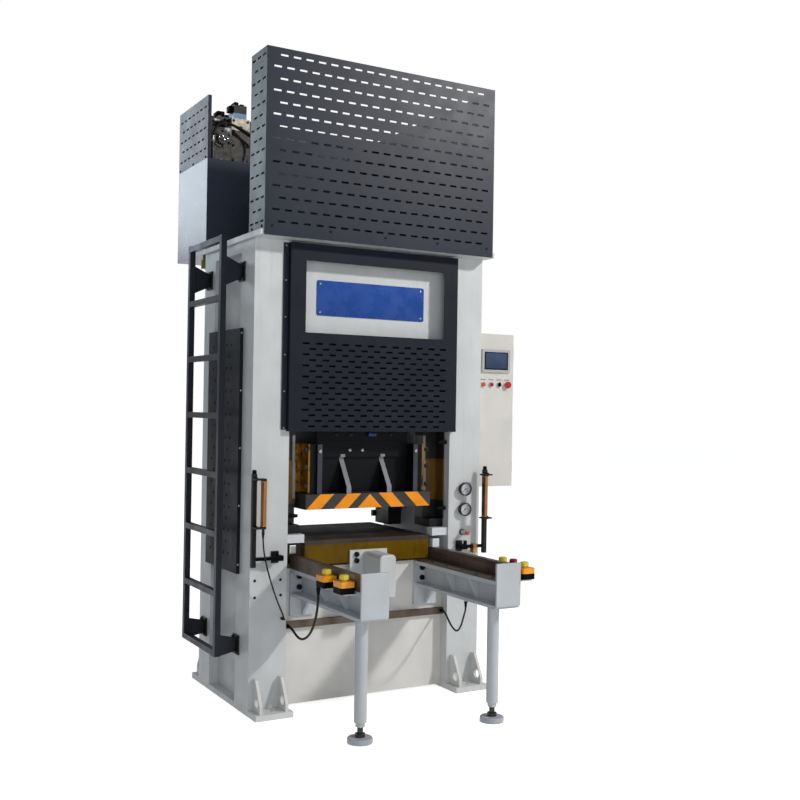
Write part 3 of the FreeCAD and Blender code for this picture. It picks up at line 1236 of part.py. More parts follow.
def curtain_frames():
    """Bar, two clamps and an arm with a tab on the upright, on each side."""
    half = BAR_SIZE / 2
    post_front = POST_Y - POST_SIZE / 2
    bar_front = BAR_Y - half
    bar = box(BAR_X - half, BAR_X + half, bar_front, BAR_Y + half, BAR_BOTTOM, BAR_TOP)
    clamp_left = POST_X - POST_SIZE / 2
    clamps = [box(clamp_left, BAR_X + half, post_front, bar_front, low, low + CLAMP_THICKNESS)
              for low in (POST_BOTTOM - CLAMP_THICKNESS, POST_TOP)]
    arm_top = CURTAIN_ARM_BOTTOM + CURTAIN_ARM_HEIGHT
    reach = box(CURTAIN_ARM_INNER, BAR_X - half, bar_front, BAR_Y + half, CURTAIN_ARM_BOTTOM, arm_top)
    stem = box(CURTAIN_ARM_INNER, CURTAIN_ARM_INNER + CURTAIN_TAB_WIDTH, BAR_Y + half, -HALF_DEPTH,
               CURTAIN_ARM_BOTTOM, arm_top)
    tab_low = CURTAIN_ARM_BOTTOM + (CURTAIN_ARM_HEIGHT - CURTAIN_TAB_HEIGHT) / 2
    tab = box(CURTAIN_ARM_INNER, CURTAIN_ARM_INNER + CURTAIN_TAB_WIDTH,
              -HALF_DEPTH - CURTAIN_TAB_THICKNESS, -HALF_DEPTH, tab_low, tab_low + CURTAIN_TAB_HEIGHT)
    frame = fused([bar, reach, stem, tab] + clamps)
    x, y, z = CURTAIN_CABLE_ROUTE[0]
    plug = cylinder(PLUG_RADIUS, V(x, y, z), V(x, y, POST_BOTTOM - CLAMP_THICKNESS))
    gx, gy, gz = CURTAIN_CABLE_ROUTE[-1]
    gland = cylinder(PLUG_RADIUS, V(gx, gy, gz), V(gx, -HALF_DEPTH, gz))
    return [mirrored(frame), frame, plug, gland]


def curtain_posts():
    half = POST_SIZE / 2
    post = box(POST_X - half, POST_X + half, POST_Y - half, POST_Y + half, POST_BOTTOM, POST_TOP)
    return left_and_right(post)


# ---- Control cabinet ----------------------------------------------------

def cabinet_body():
    """An open-fronted shell with two hinge leaves on its right side."""
    front = DOOR_BACK + DOOR_GAP
    shell = box(CABINET_LEFT, CABINET_RIGHT, front, CABINET_BACK, CABINET_BOTTOM, CABINET_TOP)
    inside = box(CABINET_LEFT + CABINET_WALL, CABINET_RIGHT - CABINET_WALL, front,
                 CABINET_BACK - CABINET_WALL, CABINET_BOTTOM + CABINET_WALL, CABINET_TOP - CABINET_WALL)
    shell = shell.cut(inside)
    pieces = [shell]
    for level in HINGE_LEVELS:
        leaf = box(CABINET_RIGHT, CABINET_RIGHT + HINGE_LEAF, front, front + HINGE_LEAF_WIDTH,
                   level, level + HINGE_KNUCKLE)
        knuckle = cylinder(HINGE_RADIUS, V(HINGE_X, HINGE_Y, level), V(HINGE_X, HINGE_Y, level + HINGE_KNUCKLE))
        pin = cylinder(HINGE_PIN_RADIUS, V(HINGE_X, HINGE_Y, level),
                       V(HINGE_X, HINGE_Y, level + 2 * HINGE_KNUCKLE))
        pieces += [leaf, hinge_bridge(level, front, front + HINGE_RADIUS), knuckle, pin]
    return [fused(pieces)]


def hinge_bridge(level, y_low, y_high):
    """The part of a leaf between the side of the cabinet and the knuckle."""
    return box(CABINET_RIGHT, HINGE_X, y_low, y_high, level, level + HINGE_KNUCKLE)


def cabinet_door():
    """A folded door with rounded-off back, control holes and hinge knuckles."""
    door = box(CABINET_LEFT, CABINET_RIGHT, CABINET_FRONT, DOOR_BACK, CABINET_BOTTOM, CABINET_TOP)
    inside = box(CABINET_LEFT + DOOR_SKIN, CABINET_RIGHT - DOOR_SKIN, CABINET_FRONT + DOOR_SKIN, DOOR_BACK,
                 CABINET_BOTTOM + DOOR_SKIN, CABINET_TOP - DOOR_SKIN)
    holes = [cylinder(CONTROL_RADIUS + HOLE_CLEARANCE, V(x, CABINET_FRONT, CONTROL_LEVEL),
                      V(x, CABINET_FRONT + DOOR_SKIN, CONTROL_LEVEL)) for x in CONTROL_PLACES]
    pieces = [door.cut([inside] + holes)]
    for level in HINGE_LEVELS:
        low = level + HINGE_KNUCKLE + SLIDE_FIT
        leaf = box(CABINET_RIGHT, CABINET_RIGHT + HINGE_LEAF, DOOR_BACK - HINGE_LEAF_WIDTH, DOOR_BACK,
                   low, low + HINGE_KNUCKLE)
        bridge = box(CABINET_RIGHT, HINGE_X, DOOR_BACK - HINGE_RADIUS, DOOR_BACK - DOOR_GAP,
                     low, low + HINGE_KNUCKLE)
        bore_low = V(HINGE_X, HINGE_Y, low)
        bore_high = V(HINGE_X, HINGE_Y, low + HINGE_KNUCKLE)
        leaf_and_knuckle = fused([leaf, bridge, cylinder(HINGE_RADIUS, bore_low, bore_high)])
        pieces.append(leaf_and_knuckle.cut(cylinder(HINGE_PIN_RADIUS + RUNNING_FIT, bore_low, bore_high)))
    return [fused(pieces + control_rings())]


def control_rings():
    return [ring(CONTROL_RING_RADIUS, CONTROL_RADIUS + HOLE_CLEARANCE,
                 V(x, CABINET_FRONT - CONTROL_RING, CONTROL_LEVEL), V(x, CABINET_FRONT, CONTROL_LEVEL))
            for x in CONTROL_PLACES]


def touch_screen():
    front = CABINET_FRONT - SCREEN_PROUD
    right = SCREEN_LEFT + SCREEN_WIDTH
    top = SCREEN_BOTTOM + SCREEN_HEIGHT
    bezel = box(SCREEN_LEFT, right, front, CABINET_FRONT, SCREEN_BOTTOM, top)
    glass = box(SCREEN_LEFT + SCREEN_BORDER, right - SCREEN_BORDER, front, front + SCREEN_RECESS,
                SCREEN_BOTTOM + SCREEN_BORDER, top - SCREEN_BORDER)
    return [bezel.cut(glass)]


def control_stem(x, proud):
    """The round body of a control in its hole in the door."""
    return cylinder(CONTROL_RADIUS, V(x, CABINET_FRONT - proud, CONTROL_LEVEL),
                    V(x, CABINET_FRONT + CONTROL_DEPTH, CONTROL_LEVEL))


def signal_lamp():
    """The lamp fills its ring and has a collar behind the door skin."""
    x = CONTROL_PLACES[0]
    skin_back = CABINET_FRONT + DOOR_SKIN
    collar = cylinder(CONTROL_RING_RADIUS, V(x, skin_back, CONTROL_LEVEL),
                      V(x, CABINET_FRONT + CONTROL_DEPTH, CONTROL_LEVEL))
    return [fused([control_stem(x, LAMP_PROUD), collar])]


def push_button():
    return [control_stem(CONTROL_PLACES[1], CONTROL_PROUD)]


def selector_switch():
    x = CONTROL_PLACES[2]
    front = CABINET_FRONT - CONTROL_PROUD
    half = SELECTOR_HANDLE_THICKNESS / 2
    handle = box(x - half, x + half, front - SELECTOR_HANDLE_THICKNESS, front,
                 CONTROL_LEVEL - SELECTOR_TAIL, CONTROL_LEVEL + SELECTOR_HANDLE)
    return [fused([control_stem(x, CONTROL_PROUD), handle])]


def cabinet_stop():
    x = CONTROL_PLACES[3]
    seat = CABINET_FRONT - CONTROL_RING - STOP_HEAD_GAP
    profile = [(0, 0), (STOP_HEAD_RADIUS, 0), (STOP_HEAD_RADIUS, STOP_HEAD - STOP_HEAD_BEVEL),
               (STOP_HEAD_RADIUS - STOP_HEAD_BEVEL, STOP_HEAD), (0, STOP_HEAD)]
    head = turned(profile, V(x, seat, CONTROL_LEVEL), -Y_AXIS)
    return [fused([control_stem(x, -seat + CABINET_FRONT), head])]


# ---- Air gauges and regulator -------------------------------------------

def air_gauges():
    """Two round gauge cases and the regulator, on the front of the right upright."""
    solids = [gauge_case(level) for level in GAUGE_LEVELS]
    return solids + [regulator()]


def gauge_case(level):
    """A cup with a rim, an open face, and a blind hole for the needle's pin."""
    inside = GAUGE_RADIUS - GAUGE_RIM
    dial = GAUGE_DEPTH - GAUGE_RECESS
    pin = NEEDLE_PIN + RUNNING_FIT
    neck = GAUGE_RADIUS - GAUGE_STEP
    hole = dial - GAUGE_PIN_HOLE
    profile = [(0, 0), (neck, 0), (neck, GAUGE_NECK_DEPTH), (GAUGE_RADIUS, GAUGE_NECK_DEPTH),
               (GAUGE_RADIUS, GAUGE_DEPTH), (inside, GAUGE_DEPTH), (inside, dial), (pin, dial),
               (pin, hole), (0, hole)]
    return turned(profile, V(GAUGE_X, -HALF_DEPTH, level), -Y_AXIS)


def gauge_needle(level):
    """Hub, pin and pointer, at rest pointing down to the left."""
    dial_y = -HALF_DEPTH - GAUGE_DEPTH + GAUGE_RECESS
    low_y = dial_y - NEEDLE_LIFT
    seat_y = dial_y - SLIDE_FIT
    hub = cylinder(NEEDLE_HUB, V(GAUGE_X, low_y - NEEDLE_THICKNESS, level), V(GAUGE_X, seat_y, level))
    pin = cylinder(NEEDLE_PIN, V(GAUGE_X, seat_y, level), V(GAUGE_X, dial_y + NEEDLE_PIN_DEPTH, level))
    outline = [(-NEEDLE_HALF_ROOT, -NEEDLE_TAIL), (NEEDLE_HALF_ROOT, -NEEDLE_TAIL),
               (NEEDLE_HALF_TIP, NEEDLE_LENGTH), (-NEEDLE_HALF_TIP, NEEDLE_LENGTH)]
    corners = [V(GAUGE_X + x, low_y - NEEDLE_THICKNESS, level + z) for x, z in outline]
    pointer = prism(corners, Y_AXIS * NEEDLE_THICKNESS)
    pointer.rotate(V(GAUGE_X, 0, level), Y_AXIS, NEEDLE_REST)
    return [fused([hub, pin, pointer])]


def regulator():
    """Flow regulator: a flange on the upright and a barrel that points forwards."""
    profile = [(0, 0), (REGULATOR_FLANGE_RADIUS, 0), (REGULATOR_FLANGE_RADIUS, REGULATOR_FLANGE),
               (REGULATOR_RADIUS, REGULATOR_FLANGE), (REGULATOR_RADIUS, regulator_reach()),
               (0, regulator_reach())]
    barrel = turned(profile, V(REGULATOR_X, -HALF_DEPTH, REGULATOR_LEVEL), -Y_AXIS)
    front = V(REGULATOR_X, -HALF_DEPTH - regulator_reach(), REGULATOR_LEVEL)
    depth = KNOB_SHAFT_LENGTH + KNOB_BORE_SPARE
    return barrel.cut(cylinder(KNOB_SHAFT_RADIUS + RUNNING_FIT, front, front + Y_AXIS * depth))


def regulator_reach():
    return REGULATOR_FLANGE + REGULATOR_LENGTH


def regulator_knob():
    start = V(REGULATOR_X, -HALF_DEPTH - regulator_reach() - SLIDE_FIT, REGULATOR_LEVEL)
    knob = cylinder(KNOB_RADIUS, start, start - Y_AXIS * KNOB_LENGTH)
    shaft = cylinder(KNOB_SHAFT_RADIUS, start, start + Y_AXIS * KNOB_SHAFT_LENGTH)
    return [fused([knob, shaft])]


# ---- Cables and hoses ---------------------------------------------------

def route_edges(points, name, radius):
    """Straight runs joined by arcs that touch them; prints the tightest bend."""
    points = [V(*point) for point in points]
    edges = []
    start = points[0]
    tightest = None
    for before, corner, after in zip(points, points[1:], points[2:]):
        run_in = corner - before
        run_out = after - corner
        shorter = min(run_in.Length, run_out.Length)
        half_turn = run_in.getAngle(run_out) / 2
        cut = 0.45 * shorter
        bend = cut / math.tan(half_turn)
        arc_start = corner - run_in.normalize() * cut
        arc_end = corner + run_out.normalize() * cut
        inward = (arc_start + arc_end) * 0.5 - corner
        reach = bend / math.cos(half_turn) - bend
        middle = corner + inward.normalize() * reach
        edges.append(Part.LineSegment(start, arc_start).toShape())
        edges.append(Part.Arc(arc_start, middle, arc_end).toShape())
        start = arc_end
        tightest = bend if tightest is None else min(tightest, bend)
    edges.append(Part.LineSegment(start, points[-1]).toShape())
    print(f"{name}: radius {radius}, tightest bend {tightest:.1f}, length {sum(e.Length for e in edges):.0f}")
    return edges


def route_tube(points, radius, name):
    """A round cable or hose along its route."""
    path = Part.Wire(route_edges(points, name, radius))
    direction = V(*points[1]) - V(*points[0])
    section = Part.Wire(Part.makeCircle(radius, V(*points[0]), direction))
    return path.makePipeShell([section], True, False)


def cables():
    return {
        "box_cable": [route_tube(BOX_CABLE_ROUTE, BOX_CABLE_RADIUS, "box_cable")],
        "curtain_cable": [route_tube(CURTAIN_CABLE_ROUTE, CURTAIN_CABLE_RADIUS, "curtain_cable")],
        "arm_cable": [route_tube(ARM_CABLE_ROUTE, ARM_CABLE_RADIUS, "arm_cable")],
        "hydraulic_hoses": [route_tube(PRESSURE_HOSE_ROUTE, HOSE_RADIUS, "pressure hose"),
                            route_tube(RETURN_HOSE_ROUTE, HOSE_RADIUS, "return hose")],
    }


# ---- The whole press ----------------------------------------------------

def sub_parts():
    """Every sub-part by name, each a list of solids."""
    parts = {
        "foot_plates": foot_plates(), "upright_left": [mirrored(upright())], "upright_right": [upright()],
        "bed_beam": bed_beam(), "apron_bar": apron_bar(), "crown_beam": crown_beam(),
        "crown_plate": crown_plate(), "locator_blocks": locator_blocks(), "gib_rails": gib_rails(),
        "name_plate": name_plate(), "slide_base": slide_base(), "slide_body": slide_body(),
        "slide_guides": slide_guides(), "piston_rod": piston_rod(), "main_cylinder": main_cylinder(),
        "front_cover": front_cover(), "upper_guard": upper_guard(), "tank_guard": tank_guard(),
        "side_cover": side_cover(), "ladder_rails": ladder_rails(), "ladder_rungs": ladder_rungs(),
        "oil_tank": oil_tank(), "pump_motor": pump_motor(),
        "valve_block": valve_block(),
        "arm_left": [mirrored(arm(BOX_PLACES_LEFT, (), BOX_BOTTOM_LEFT))],
        "arm_right": [arm(BOX_PLACES_RIGHT, (ARM_STOP_Y,), BOX_BOTTOM_RIGHT)],
        "arm_bolts": arm_bolts(), "carriage_rails": carriage_rails(), "leg_tubes": leg_tubes(),
        "foot_left": [mirrored(foot())], "foot_right": [foot()],
        "bolster_carriage": bolster_carriage(), "bolster_plate": bolster_plate(),
        "wheelset_front": wheelset(-WHEEL_Y), "wheelset_rear": wheelset(WHEEL_Y),
        "drive_unit": drive_unit(), "button_box_bases": button_box_bases(),
        "button_box_tops": button_box_tops(), "curtain_frames": curtain_frames(),
        "curtain_posts": curtain_posts(), "cabinet_body": cabinet_body(), "cabinet_door": cabinet_door(),
        "touch_screen": touch_screen(), "signal_lamp": signal_lamp(), "push_button": push_button(),
        "selector_switch": selector_switch(), "cabinet_stop": cabinet_stop(),
        "air_gauges": air_gauges(), "regulator_knob": regulator_knob(),
    }
    for number, (x, y, low) in enumerate(box_places(), 1):
        seat = low + BOX_BASE_HEIGHT + BOX_TOP_HEIGHT
        parts[f"hand_button_{number}"] = [mushroom(x, y, seat, BUTTON_RADIUS)]
    parts["arm_stop"] = [mushroom(BOX_CENTRE, ARM_STOP_Y, stop_seat(), ARM_STOP_RADIUS)]
    for name, level in zip(("gauge_needle_lower", "gauge_needle_upper"), GAUGE_LEVELS):
        parts[name] = gauge_needle(level)
    parts.update(cables())
    return parts


def main():
    os.makedirs("parts", exist_ok=True)
    for name, solids in sub_parts().items():
        shape = solids[0] if len(solids) == 1 else Part.makeCompound(solids)
        shape.exportStep(f"parts/{name}.step")


main()
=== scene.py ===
"""Hydraulic press with a rolling bolster: finishes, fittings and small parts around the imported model."""
import math
import bmesh
import bpy
from mathutils import Matrix, Vector


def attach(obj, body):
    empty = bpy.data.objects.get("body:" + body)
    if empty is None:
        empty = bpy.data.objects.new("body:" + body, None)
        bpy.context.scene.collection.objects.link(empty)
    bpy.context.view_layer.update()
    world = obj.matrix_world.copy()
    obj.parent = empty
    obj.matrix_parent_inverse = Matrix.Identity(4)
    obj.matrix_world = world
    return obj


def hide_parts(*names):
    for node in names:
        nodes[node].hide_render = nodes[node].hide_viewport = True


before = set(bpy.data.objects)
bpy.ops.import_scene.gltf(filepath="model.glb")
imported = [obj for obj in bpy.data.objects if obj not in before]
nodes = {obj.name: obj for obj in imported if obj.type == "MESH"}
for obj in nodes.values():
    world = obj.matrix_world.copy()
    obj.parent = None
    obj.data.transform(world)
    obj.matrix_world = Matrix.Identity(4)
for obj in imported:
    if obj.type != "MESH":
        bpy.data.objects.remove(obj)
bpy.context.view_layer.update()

# ---- Camera ----

CAMERA_PLACE = (-2.6445, -5.2722, 1.5464)
CAMERA_YAW = 29.8
CAMERA_PITCH = 0.5
CAMERA_ROLL = 0.9
CAMERA_LENS = 47.04


def set_up_camera():
    lens = bpy.data.cameras.new("press_camera")
    lens.lens = CAMERA_LENS
    lens.sensor_width = 36
    lens.clip_end = 200
    camera = bpy.data.objects.new("press_camera", lens)
    turn = Matrix.Rotation(math.radians(-CAMERA_YAW), 4, "Z")
    lift = Matrix.Rotation(math.radians(90 + CAMERA_PITCH), 4, "X")
    tilt = Matrix.Rotation(math.radians(CAMERA_ROLL), 4, "Z")
    camera.matrix_world = Matrix.Translation(CAMERA_PLACE) @ turn @ lift @ tilt
    bpy.context.collection.objects.link(camera)
    bpy.context.scene.camera = camera


set_up_camera()

# ---- Finishes ----

FINISHES = {}


def seen(red, green, blue):
    """A colour given as it looks on a screen, 0 to 255, as a shader takes it."""
    levels = []
    for level in (red, green, blue):
        share = level / 255
        levels.append(share / 12.92 if share <= 0.04045 else ((share + 0.055) / 1.055) ** 2.4)
    return (*levels, 1.0)


def feed(tree, socket, value):
    """Give a socket a number, a colour or the output of another node."""
    if isinstance(value, (int, float, tuple)):
        socket.default_value = value
    else:
        tree.links.new(value, socket)


def add_node(tree, kind, **inputs):
    """A new shader node with what goes into it, by the names of its sockets."""
    node = tree.nodes.new("ShaderNode" + kind)
    for name, value in inputs.items():
        feed(tree, node.inputs[name.replace("_", " ")], value)
    return node


class Finish:
    """A material and the nodes that give it colour, gloss and relief."""

    def __init__(self, name, roughness, metallic=0.0):
        material = bpy.data.materials.new(name)
        material.use_nodes = True
        self.tree = material.node_tree
        self.shader = self.tree.nodes["Principled BSDF"]
        self.set("Metallic", metallic)
        self.set("Roughness", roughness)
        self.place = self.add("TexCoord").outputs["Object"]
        self.relief = None
        FINISHES[name] = material

    def add(self, kind, **inputs):
        return add_node(self.tree, kind, **inputs)

    def set(self, name, value):
        feed(self.tree, self.shader.inputs[name], value)

    def noise(self, scale, detail=3.0, stretch=None):
        place = self.place
        if stretch:
            place = self.add("Mapping", Scale=stretch, Vector=place).outputs["Vector"]
        return self.add("TexNoise", Scale=scale, Detail=detail, Vector=place).outputs["Fac"]

    def axis(self, letter):
        return self.add("SeparateXYZ", Vector=self.place).outputs[letter]

    def sums(self, kind, *values):
        maths = self.add("Math")
        maths.operation = kind
        for socket, value in zip(maths.inputs, values):
            feed(self.tree, socket, value)
        return maths.outputs["Value"]

    def spread(self, value, low, high, start=0.0, end=1.0):
        ramp = self.add("MapRange", Value=value, From_Min=low, From_Max=high, To_Min=start, To_Max=end)
        return ramp.outputs["Result"]

    def between(self, value, low, high):
        """1 where the value lies between low and high, and 0 elsewhere."""
        above = self.sums("GREATER_THAN", value, low)
        below = self.sums("LESS_THAN", value, high)
        return self.sums("MULTIPLY", above, below)

    def mix(self, share, first, second):
        blend = self.add("Mix")
        blend.data_type = "RGBA"
        for name, value in (("Factor", share), ("A", first), ("B", second)):
            feed(self.tree, blend.inputs[name], value)
        return blend.outputs["Result"]

    def over(self, base, value, low, high, most, colour):
        """The base with another colour laid over it, up to a share, as a value rises."""
        return self.mix(self.spread(value, low, high, 0.0, most), base, colour)

    def shades(self, value, first, second, low=0.35, high=0.65):
        """From one colour to another, both as seen on a screen, as a value rises."""
        return self.mix(self.spread(value, low, high), seen(*first), seen(*second))

    def colour(self, value):
        self.set("Base Color", value)

    def gloss(self, value, low, high):
        self.set("Roughness", self.spread(value, 0.3, 0.7, low, high))

    def bump(self, height, distance, strength):
        bump = self.add("Bump", Height=height, Distance=distance, Strength=strength)
        if self.relief:
            feed(self.tree, bump.inputs["Normal"], self.relief)
        self.relief = bump.outputs["Normal"]
        self.set("Normal", self.relief)

    def soften_edges(self, radius):
        bevel = self.add("Bevel", Radius=radius)
        bevel.samples = 4
        self.relief = bevel.outputs["Normal"]
        self.set("Normal", self.relief)


def lighter(colour, share):
    """The colour times a share: darker under 1, lighter above it."""
    return tuple(min(level * share, 1.0) for level in colour[:3]) + (1.0,)


def below(letter, level):
    return lambda finish: finish.sums("LESS_THAN", finish.axis(letter), level)


def above(letter, level):
    return lambda finish: finish.sums("GREATER_THAN", finish.axis(letter), level)


def near(letter, middle, reach):
    """Where a coordinate, taken without its sign, lies close to a value."""
    def where(finish):
        away = finish.sums("SUBTRACT", finish.sums("ABSOLUTE", finish.axis(letter)), middle)
        return finish.sums("LESS_THAN", finish.sums("ABSOLUTE", away), reach)
    return where


def both(first, second):
    return lambda finish: finish.sums("MULTIPLY", first(finish), second(finish))


ORANGE_PEEL = 0.00012


def baked_coat(name, colour, roughness=0.42, dust=0.1, streaks=0.0, shine=0.5, patches=(), uneven=1.0):
    """Sprayed and baked paint: orange peel, faint blotches, a little dust and wiped streaks.

    Patches are (where, colour): parts of a piece that have another colour."""
    finish = Finish(name, roughness)
    finish.set("Specular IOR Level", shine)
    colour = seen(*colour)
    finish.soften_edges(0.0016)
    broad = finish.spread(finish.noise(5.5, 4.0), 0.35, 0.65)
    wiped = finish.noise(2.2, 5.0, (3.0, 3.0, 0.7))
    base = finish.mix(broad, lighter(colour, 0.94), lighter(colour, 1.04))
    base = finish.over(base, wiped, 0.48, 0.74, 0.8, lighter(colour, 1.0 - dust))
    if streaks:
        runs = finish.noise(7.0, 6.0, (6.0, 6.0, 0.35))
        base = finish.over(base, runs, 0.58, 0.78, streaks, seen(120, 108, 90))
    for where, other in patches:
        other = seen(*other)
        speckled = finish.mix(broad, lighter(other, 0.88), lighter(other, 1.12))
        base = finish.mix(where(finish), base, speckled)
    finish.colour(base)
    finish.gloss(finish.noise(9.0, 3.0), roughness - 0.07 * uneven, roughness + 0.09 * uneven)
    finish.bump(finish.noise(420.0, 2.0), ORANGE_PEEL, 0.55)
    finish.bump(finish.noise(14.0, 2.0), ORANGE_PEEL * 3, 0.35)


def moulded(name, colour, roughness=0.36, shine=0.5, patches=()):
    """Moulded plastic with a fine spark-eroded grain."""
    finish = Finish(name, roughness)
    colour = seen(*colour)
    finish.set("Specular IOR Level", shine)
    finish.soften_edges(0.0006)
    shade = finish.noise(30.0, 3.0)
    base = finish.mix(finish.spread(shade, 0.3, 0.7), lighter(colour, 0.93), lighter(colour, 1.05))
    for where, other in patches:
        base = finish.mix(where(finish), base, seen(*other))
    finish.colour(base)
    finish.gloss(finish.noise(60.0, 2.0), roughness - 0.05, roughness + 0.07)
    finish.bump(finish.noise(900.0, 1.0), 0.00005, 0.6)


def cut_steel(name, colour, stained, roughness=0.38, lay=(1.0, 1.0, 60.0), stains=0.7, metallic=0.85):
    """Milled or ground steel: fine tool marks one way, with oil stains and rust bloom."""
    finish = Finish(name, roughness, metallic)
    colour = seen(*colour)
    finish.soften_edges(0.001)
    marks = finish.noise(26.0, 6.0, lay)
    bloom = finish.noise(7.0, 6.0)
    base = finish.mix(finish.spread(marks, 0.3, 0.7), lighter(colour, 0.82), lighter(colour, 1.12))
    base = finish.over(base, bloom, 0.42, 0.66, stains, seen(*stained))
    finish.colour(base)
    finish.gloss(bloom, roughness - 0.08, roughness + 0.16)
    finish.bump(marks, 0.0001, 0.5)


def guide_rail_coat():
    """Guide rails: black outside the wear strip, yellow-brown grease on it, a bare ground edge."""
    finish = Finish("greased_guide_rail", 0.42, 0.35)
    smear = finish.noise(16.0, 5.0, (1.0, 1.0, 0.18))
    grease = finish.shades(smear, (62, 42, 8), (112, 80, 20))
    soot = finish.shades(smear, (14, 13, 13), (34, 30, 28))
    height = finish.axis("Z")
    base = finish.mix(finish.between(height, 1.04, 1.27), soot, grease)
    edge = finish.between(finish.sums("ABSOLUTE", finish.axis("X")), 0.3915, 0.407)
    bare = finish.sums("MULTIPLY", edge, finish.between(height, 1.07, 1.4))
    steel = finish.shades(smear, (120, 120, 118), (168, 168, 164), 0.3, 0.7)
    finish.colour(finish.mix(bare, base, steel))
    finish.bump(smear, 0.0002, 0.5)


def striped_slide_coat():
    """Slate slide base with orange warning stripes, sloping in to the middle, on its front face only."""
    finish = Finish("striped_slide_coat", 0.45)
    finish.set("Specular IOR Level", 0.3)
    finish.soften_edges(0.0014)
    slate = finish.shades(finish.noise(8.0, 5.0), (48, 48, 48), (60, 60, 58))
    orange = finish.shades(finish.noise(14.0, 4.0), (243, 142, 12), (252, 158, 26))
    away = finish.sums("ABSOLUTE", finish.axis("X"))
    height = finish.sums("SUBTRACT", finish.axis("Z"), 1.018)
    slope = finish.sums("ADD", away, height)
    stripes = finish.sums("LESS_THAN", slope, 0.074)
    for low, high in ((0.131, 0.213), (0.291, 0.372)):
        stripes = finish.sums("MAXIMUM", stripes, finish.between(slope, low, high))
    on_front = finish.sums("MULTIPLY", stripes, below("Y", -0.3475)(finish))
    finish.colour(finish.mix(on_front, slate, orange))
    finish.gloss(finish.noise(20.0), 0.38, 0.52)
    finish.bump(finish.noise(380.0, 2.0), 0.0001, 0.5)


def enamel_plate():
    """Blue enamelled sheet with painted shade: a little deeper towards its lower edge, lighter at its top.
    """
    finish = Finish("blue_enamel", 0.28)
    colour = seen(10, 66, 146)
    finish.soften_edges(0.0008)
    # Painted light and shade: darker at the bottom of the plate, lighter at its top.
    lift = finish.spread(finish.axis("Z"), 2.03, 2.21)
    base = finish.mix(lift, lighter(colour, 0.86), lighter(colour, 1.12))
    finish.colour(finish.over(base, finish.noise(6.0, 3.0), 0.35, 0.7, 0.25, lighter(colour, 1.5)))
    finish.gloss(finish.noise(12.0), 0.22, 0.34)
    finish.bump(finish.noise(260.0, 2.0), 0.00006, 0.4)


def valve_coat():
    """Pale manifold under a blue-grey valve and a black coil, dark castings beside them, all oily."""
    finish = Finish("valve_coat", 0.38, 0.3)
    finish.soften_edges(0.001)
    crystal = finish.add("TexVoronoi", Scale=160.0, Vector=finish.place).outputs["Color"]
    blotch_noise = finish.noise(24.0, 5.0)
    base = finish.shades(crystal, (176, 168, 150), (206, 200, 184), 0.2, 0.8)
    casting = finish.shades(crystal, (44, 42, 40), (78, 74, 68), 0.2, 0.8)
    outside = finish.sums("MAXIMUM", below("X", -0.5112)(finish), below("Z", 3.15)(finish))
    base = finish.mix(outside, base, casting)
    # Darker towards the bottom, in blotches.
    lower_darkening = finish.spread(finish.axis("Z"), 3.1, 3.18, 0.9, 0.25)
    black = finish.sums("MULTIPLY", finish.spread(blotch_noise, 0.4, 0.62), lower_darkening)
    base = finish.mix(black, base, seen(38, 34, 30))
    base = finish.mix(finish.between(finish.axis("Z"), 3.2225, 3.2525), base, seen(104, 132, 164))
    finish.colour(finish.mix(above("Z", 3.2525)(finish), base, seen(20, 20, 22)))
    finish.gloss(blotch_noise, 0.3, 0.6)
    finish.bump(blotch_noise, 0.0003, 0.4)


def rubber_sheath(name, colour):
    """Cable and hose sheath, dull, with dust and a fine wrapped texture."""
    finish = Finish(name, 0.62)
    finish.set("Specular IOR Level", 0.25)
    dust = finish.noise(50.0, 4.0)
    finish.colour(finish.over(seen(*colour), dust, 0.45, 0.75, 0.6, seen(38, 36, 34)))
    finish.gloss(dust, 0.5, 0.72)
    finish.bump(finish.noise(600.0, 2.0), 0.00012, 0.5)


def tarnished_bronze():
    finish = Finish("greased_bronze", 0.36, 0.8)
    finish.soften_edges(0.0008)
    smear = finish.noise(16.0, 5.0, (1.0, 1.0, 0.2))
    base = finish.shades(smear, (126, 88, 24), (178, 136, 52))
    oil = finish.noise(30.0, 4.0)
    finish.colour(finish.over(base, oil, 0.5, 0.7, 0.9, seen(34, 26, 14)))
    finish.gloss(oil, 0.28, 0.5)
    finish.bump(smear, 0.00015, 0.5)


def hard_chrome():
    finish = Finish("hard_chrome", 0.12, 1.0)
    lines = finish.noise(30.0, 3.0, (1.0, 1.0, 40.0))
    finish.colour(finish.shades(lines, (196, 197, 199), (222, 223, 225), 0.3, 0.7))
    finish.gloss(lines, 0.09, 0.17)
    finish.bump(lines, 0.00002, 0.3)


def worn_bolster_coat():
    """Yellow paint gone olive and brown with oil, scuffed where tools slide over it."""
    finish = Finish("worn_bolster_coat", 0.44)
    finish.soften_edges(0.0015)
    finish.set("Specular IOR Level", 0.12)
    stains = finish.noise(5.0, 6.0)
    base = finish.shades(stains, (92, 68, 0), (116, 88, 2))
    drips = finish.noise(10.0, 6.0, (2.5, 2.5, 0.5))
    base = finish.over(base, drips, 0.52, 0.76, 0.75, seen(60, 44, 4))
    scuffs = finish.noise(60.0, 5.0, (0.25, 1.0, 2.0))
    finish.colour(finish.over(base, scuffs, 0.66, 0.74, 0.4, seen(126, 106, 60)))
    finish.gloss(stains, 0.34, 0.56)
    finish.bump(finish.noise(300.0, 2.0), 0.00012, 0.5)


def curtain_coat():
    """Orange-brown extrusion with fine lines along its length."""
    finish = Finish("curtain_coat", 0.4)
    finish.soften_edges(0.0008)
    grain = finish.noise(40.0, 4.0, (3.0, 3.0, 0.2))
    finish.colour(finish.shades(grain, (140, 84, 30), (176, 108, 44)))
    finish.gloss(grain, 0.3, 0.5)
    finish.bump(grain, 0.0001, 0.4)


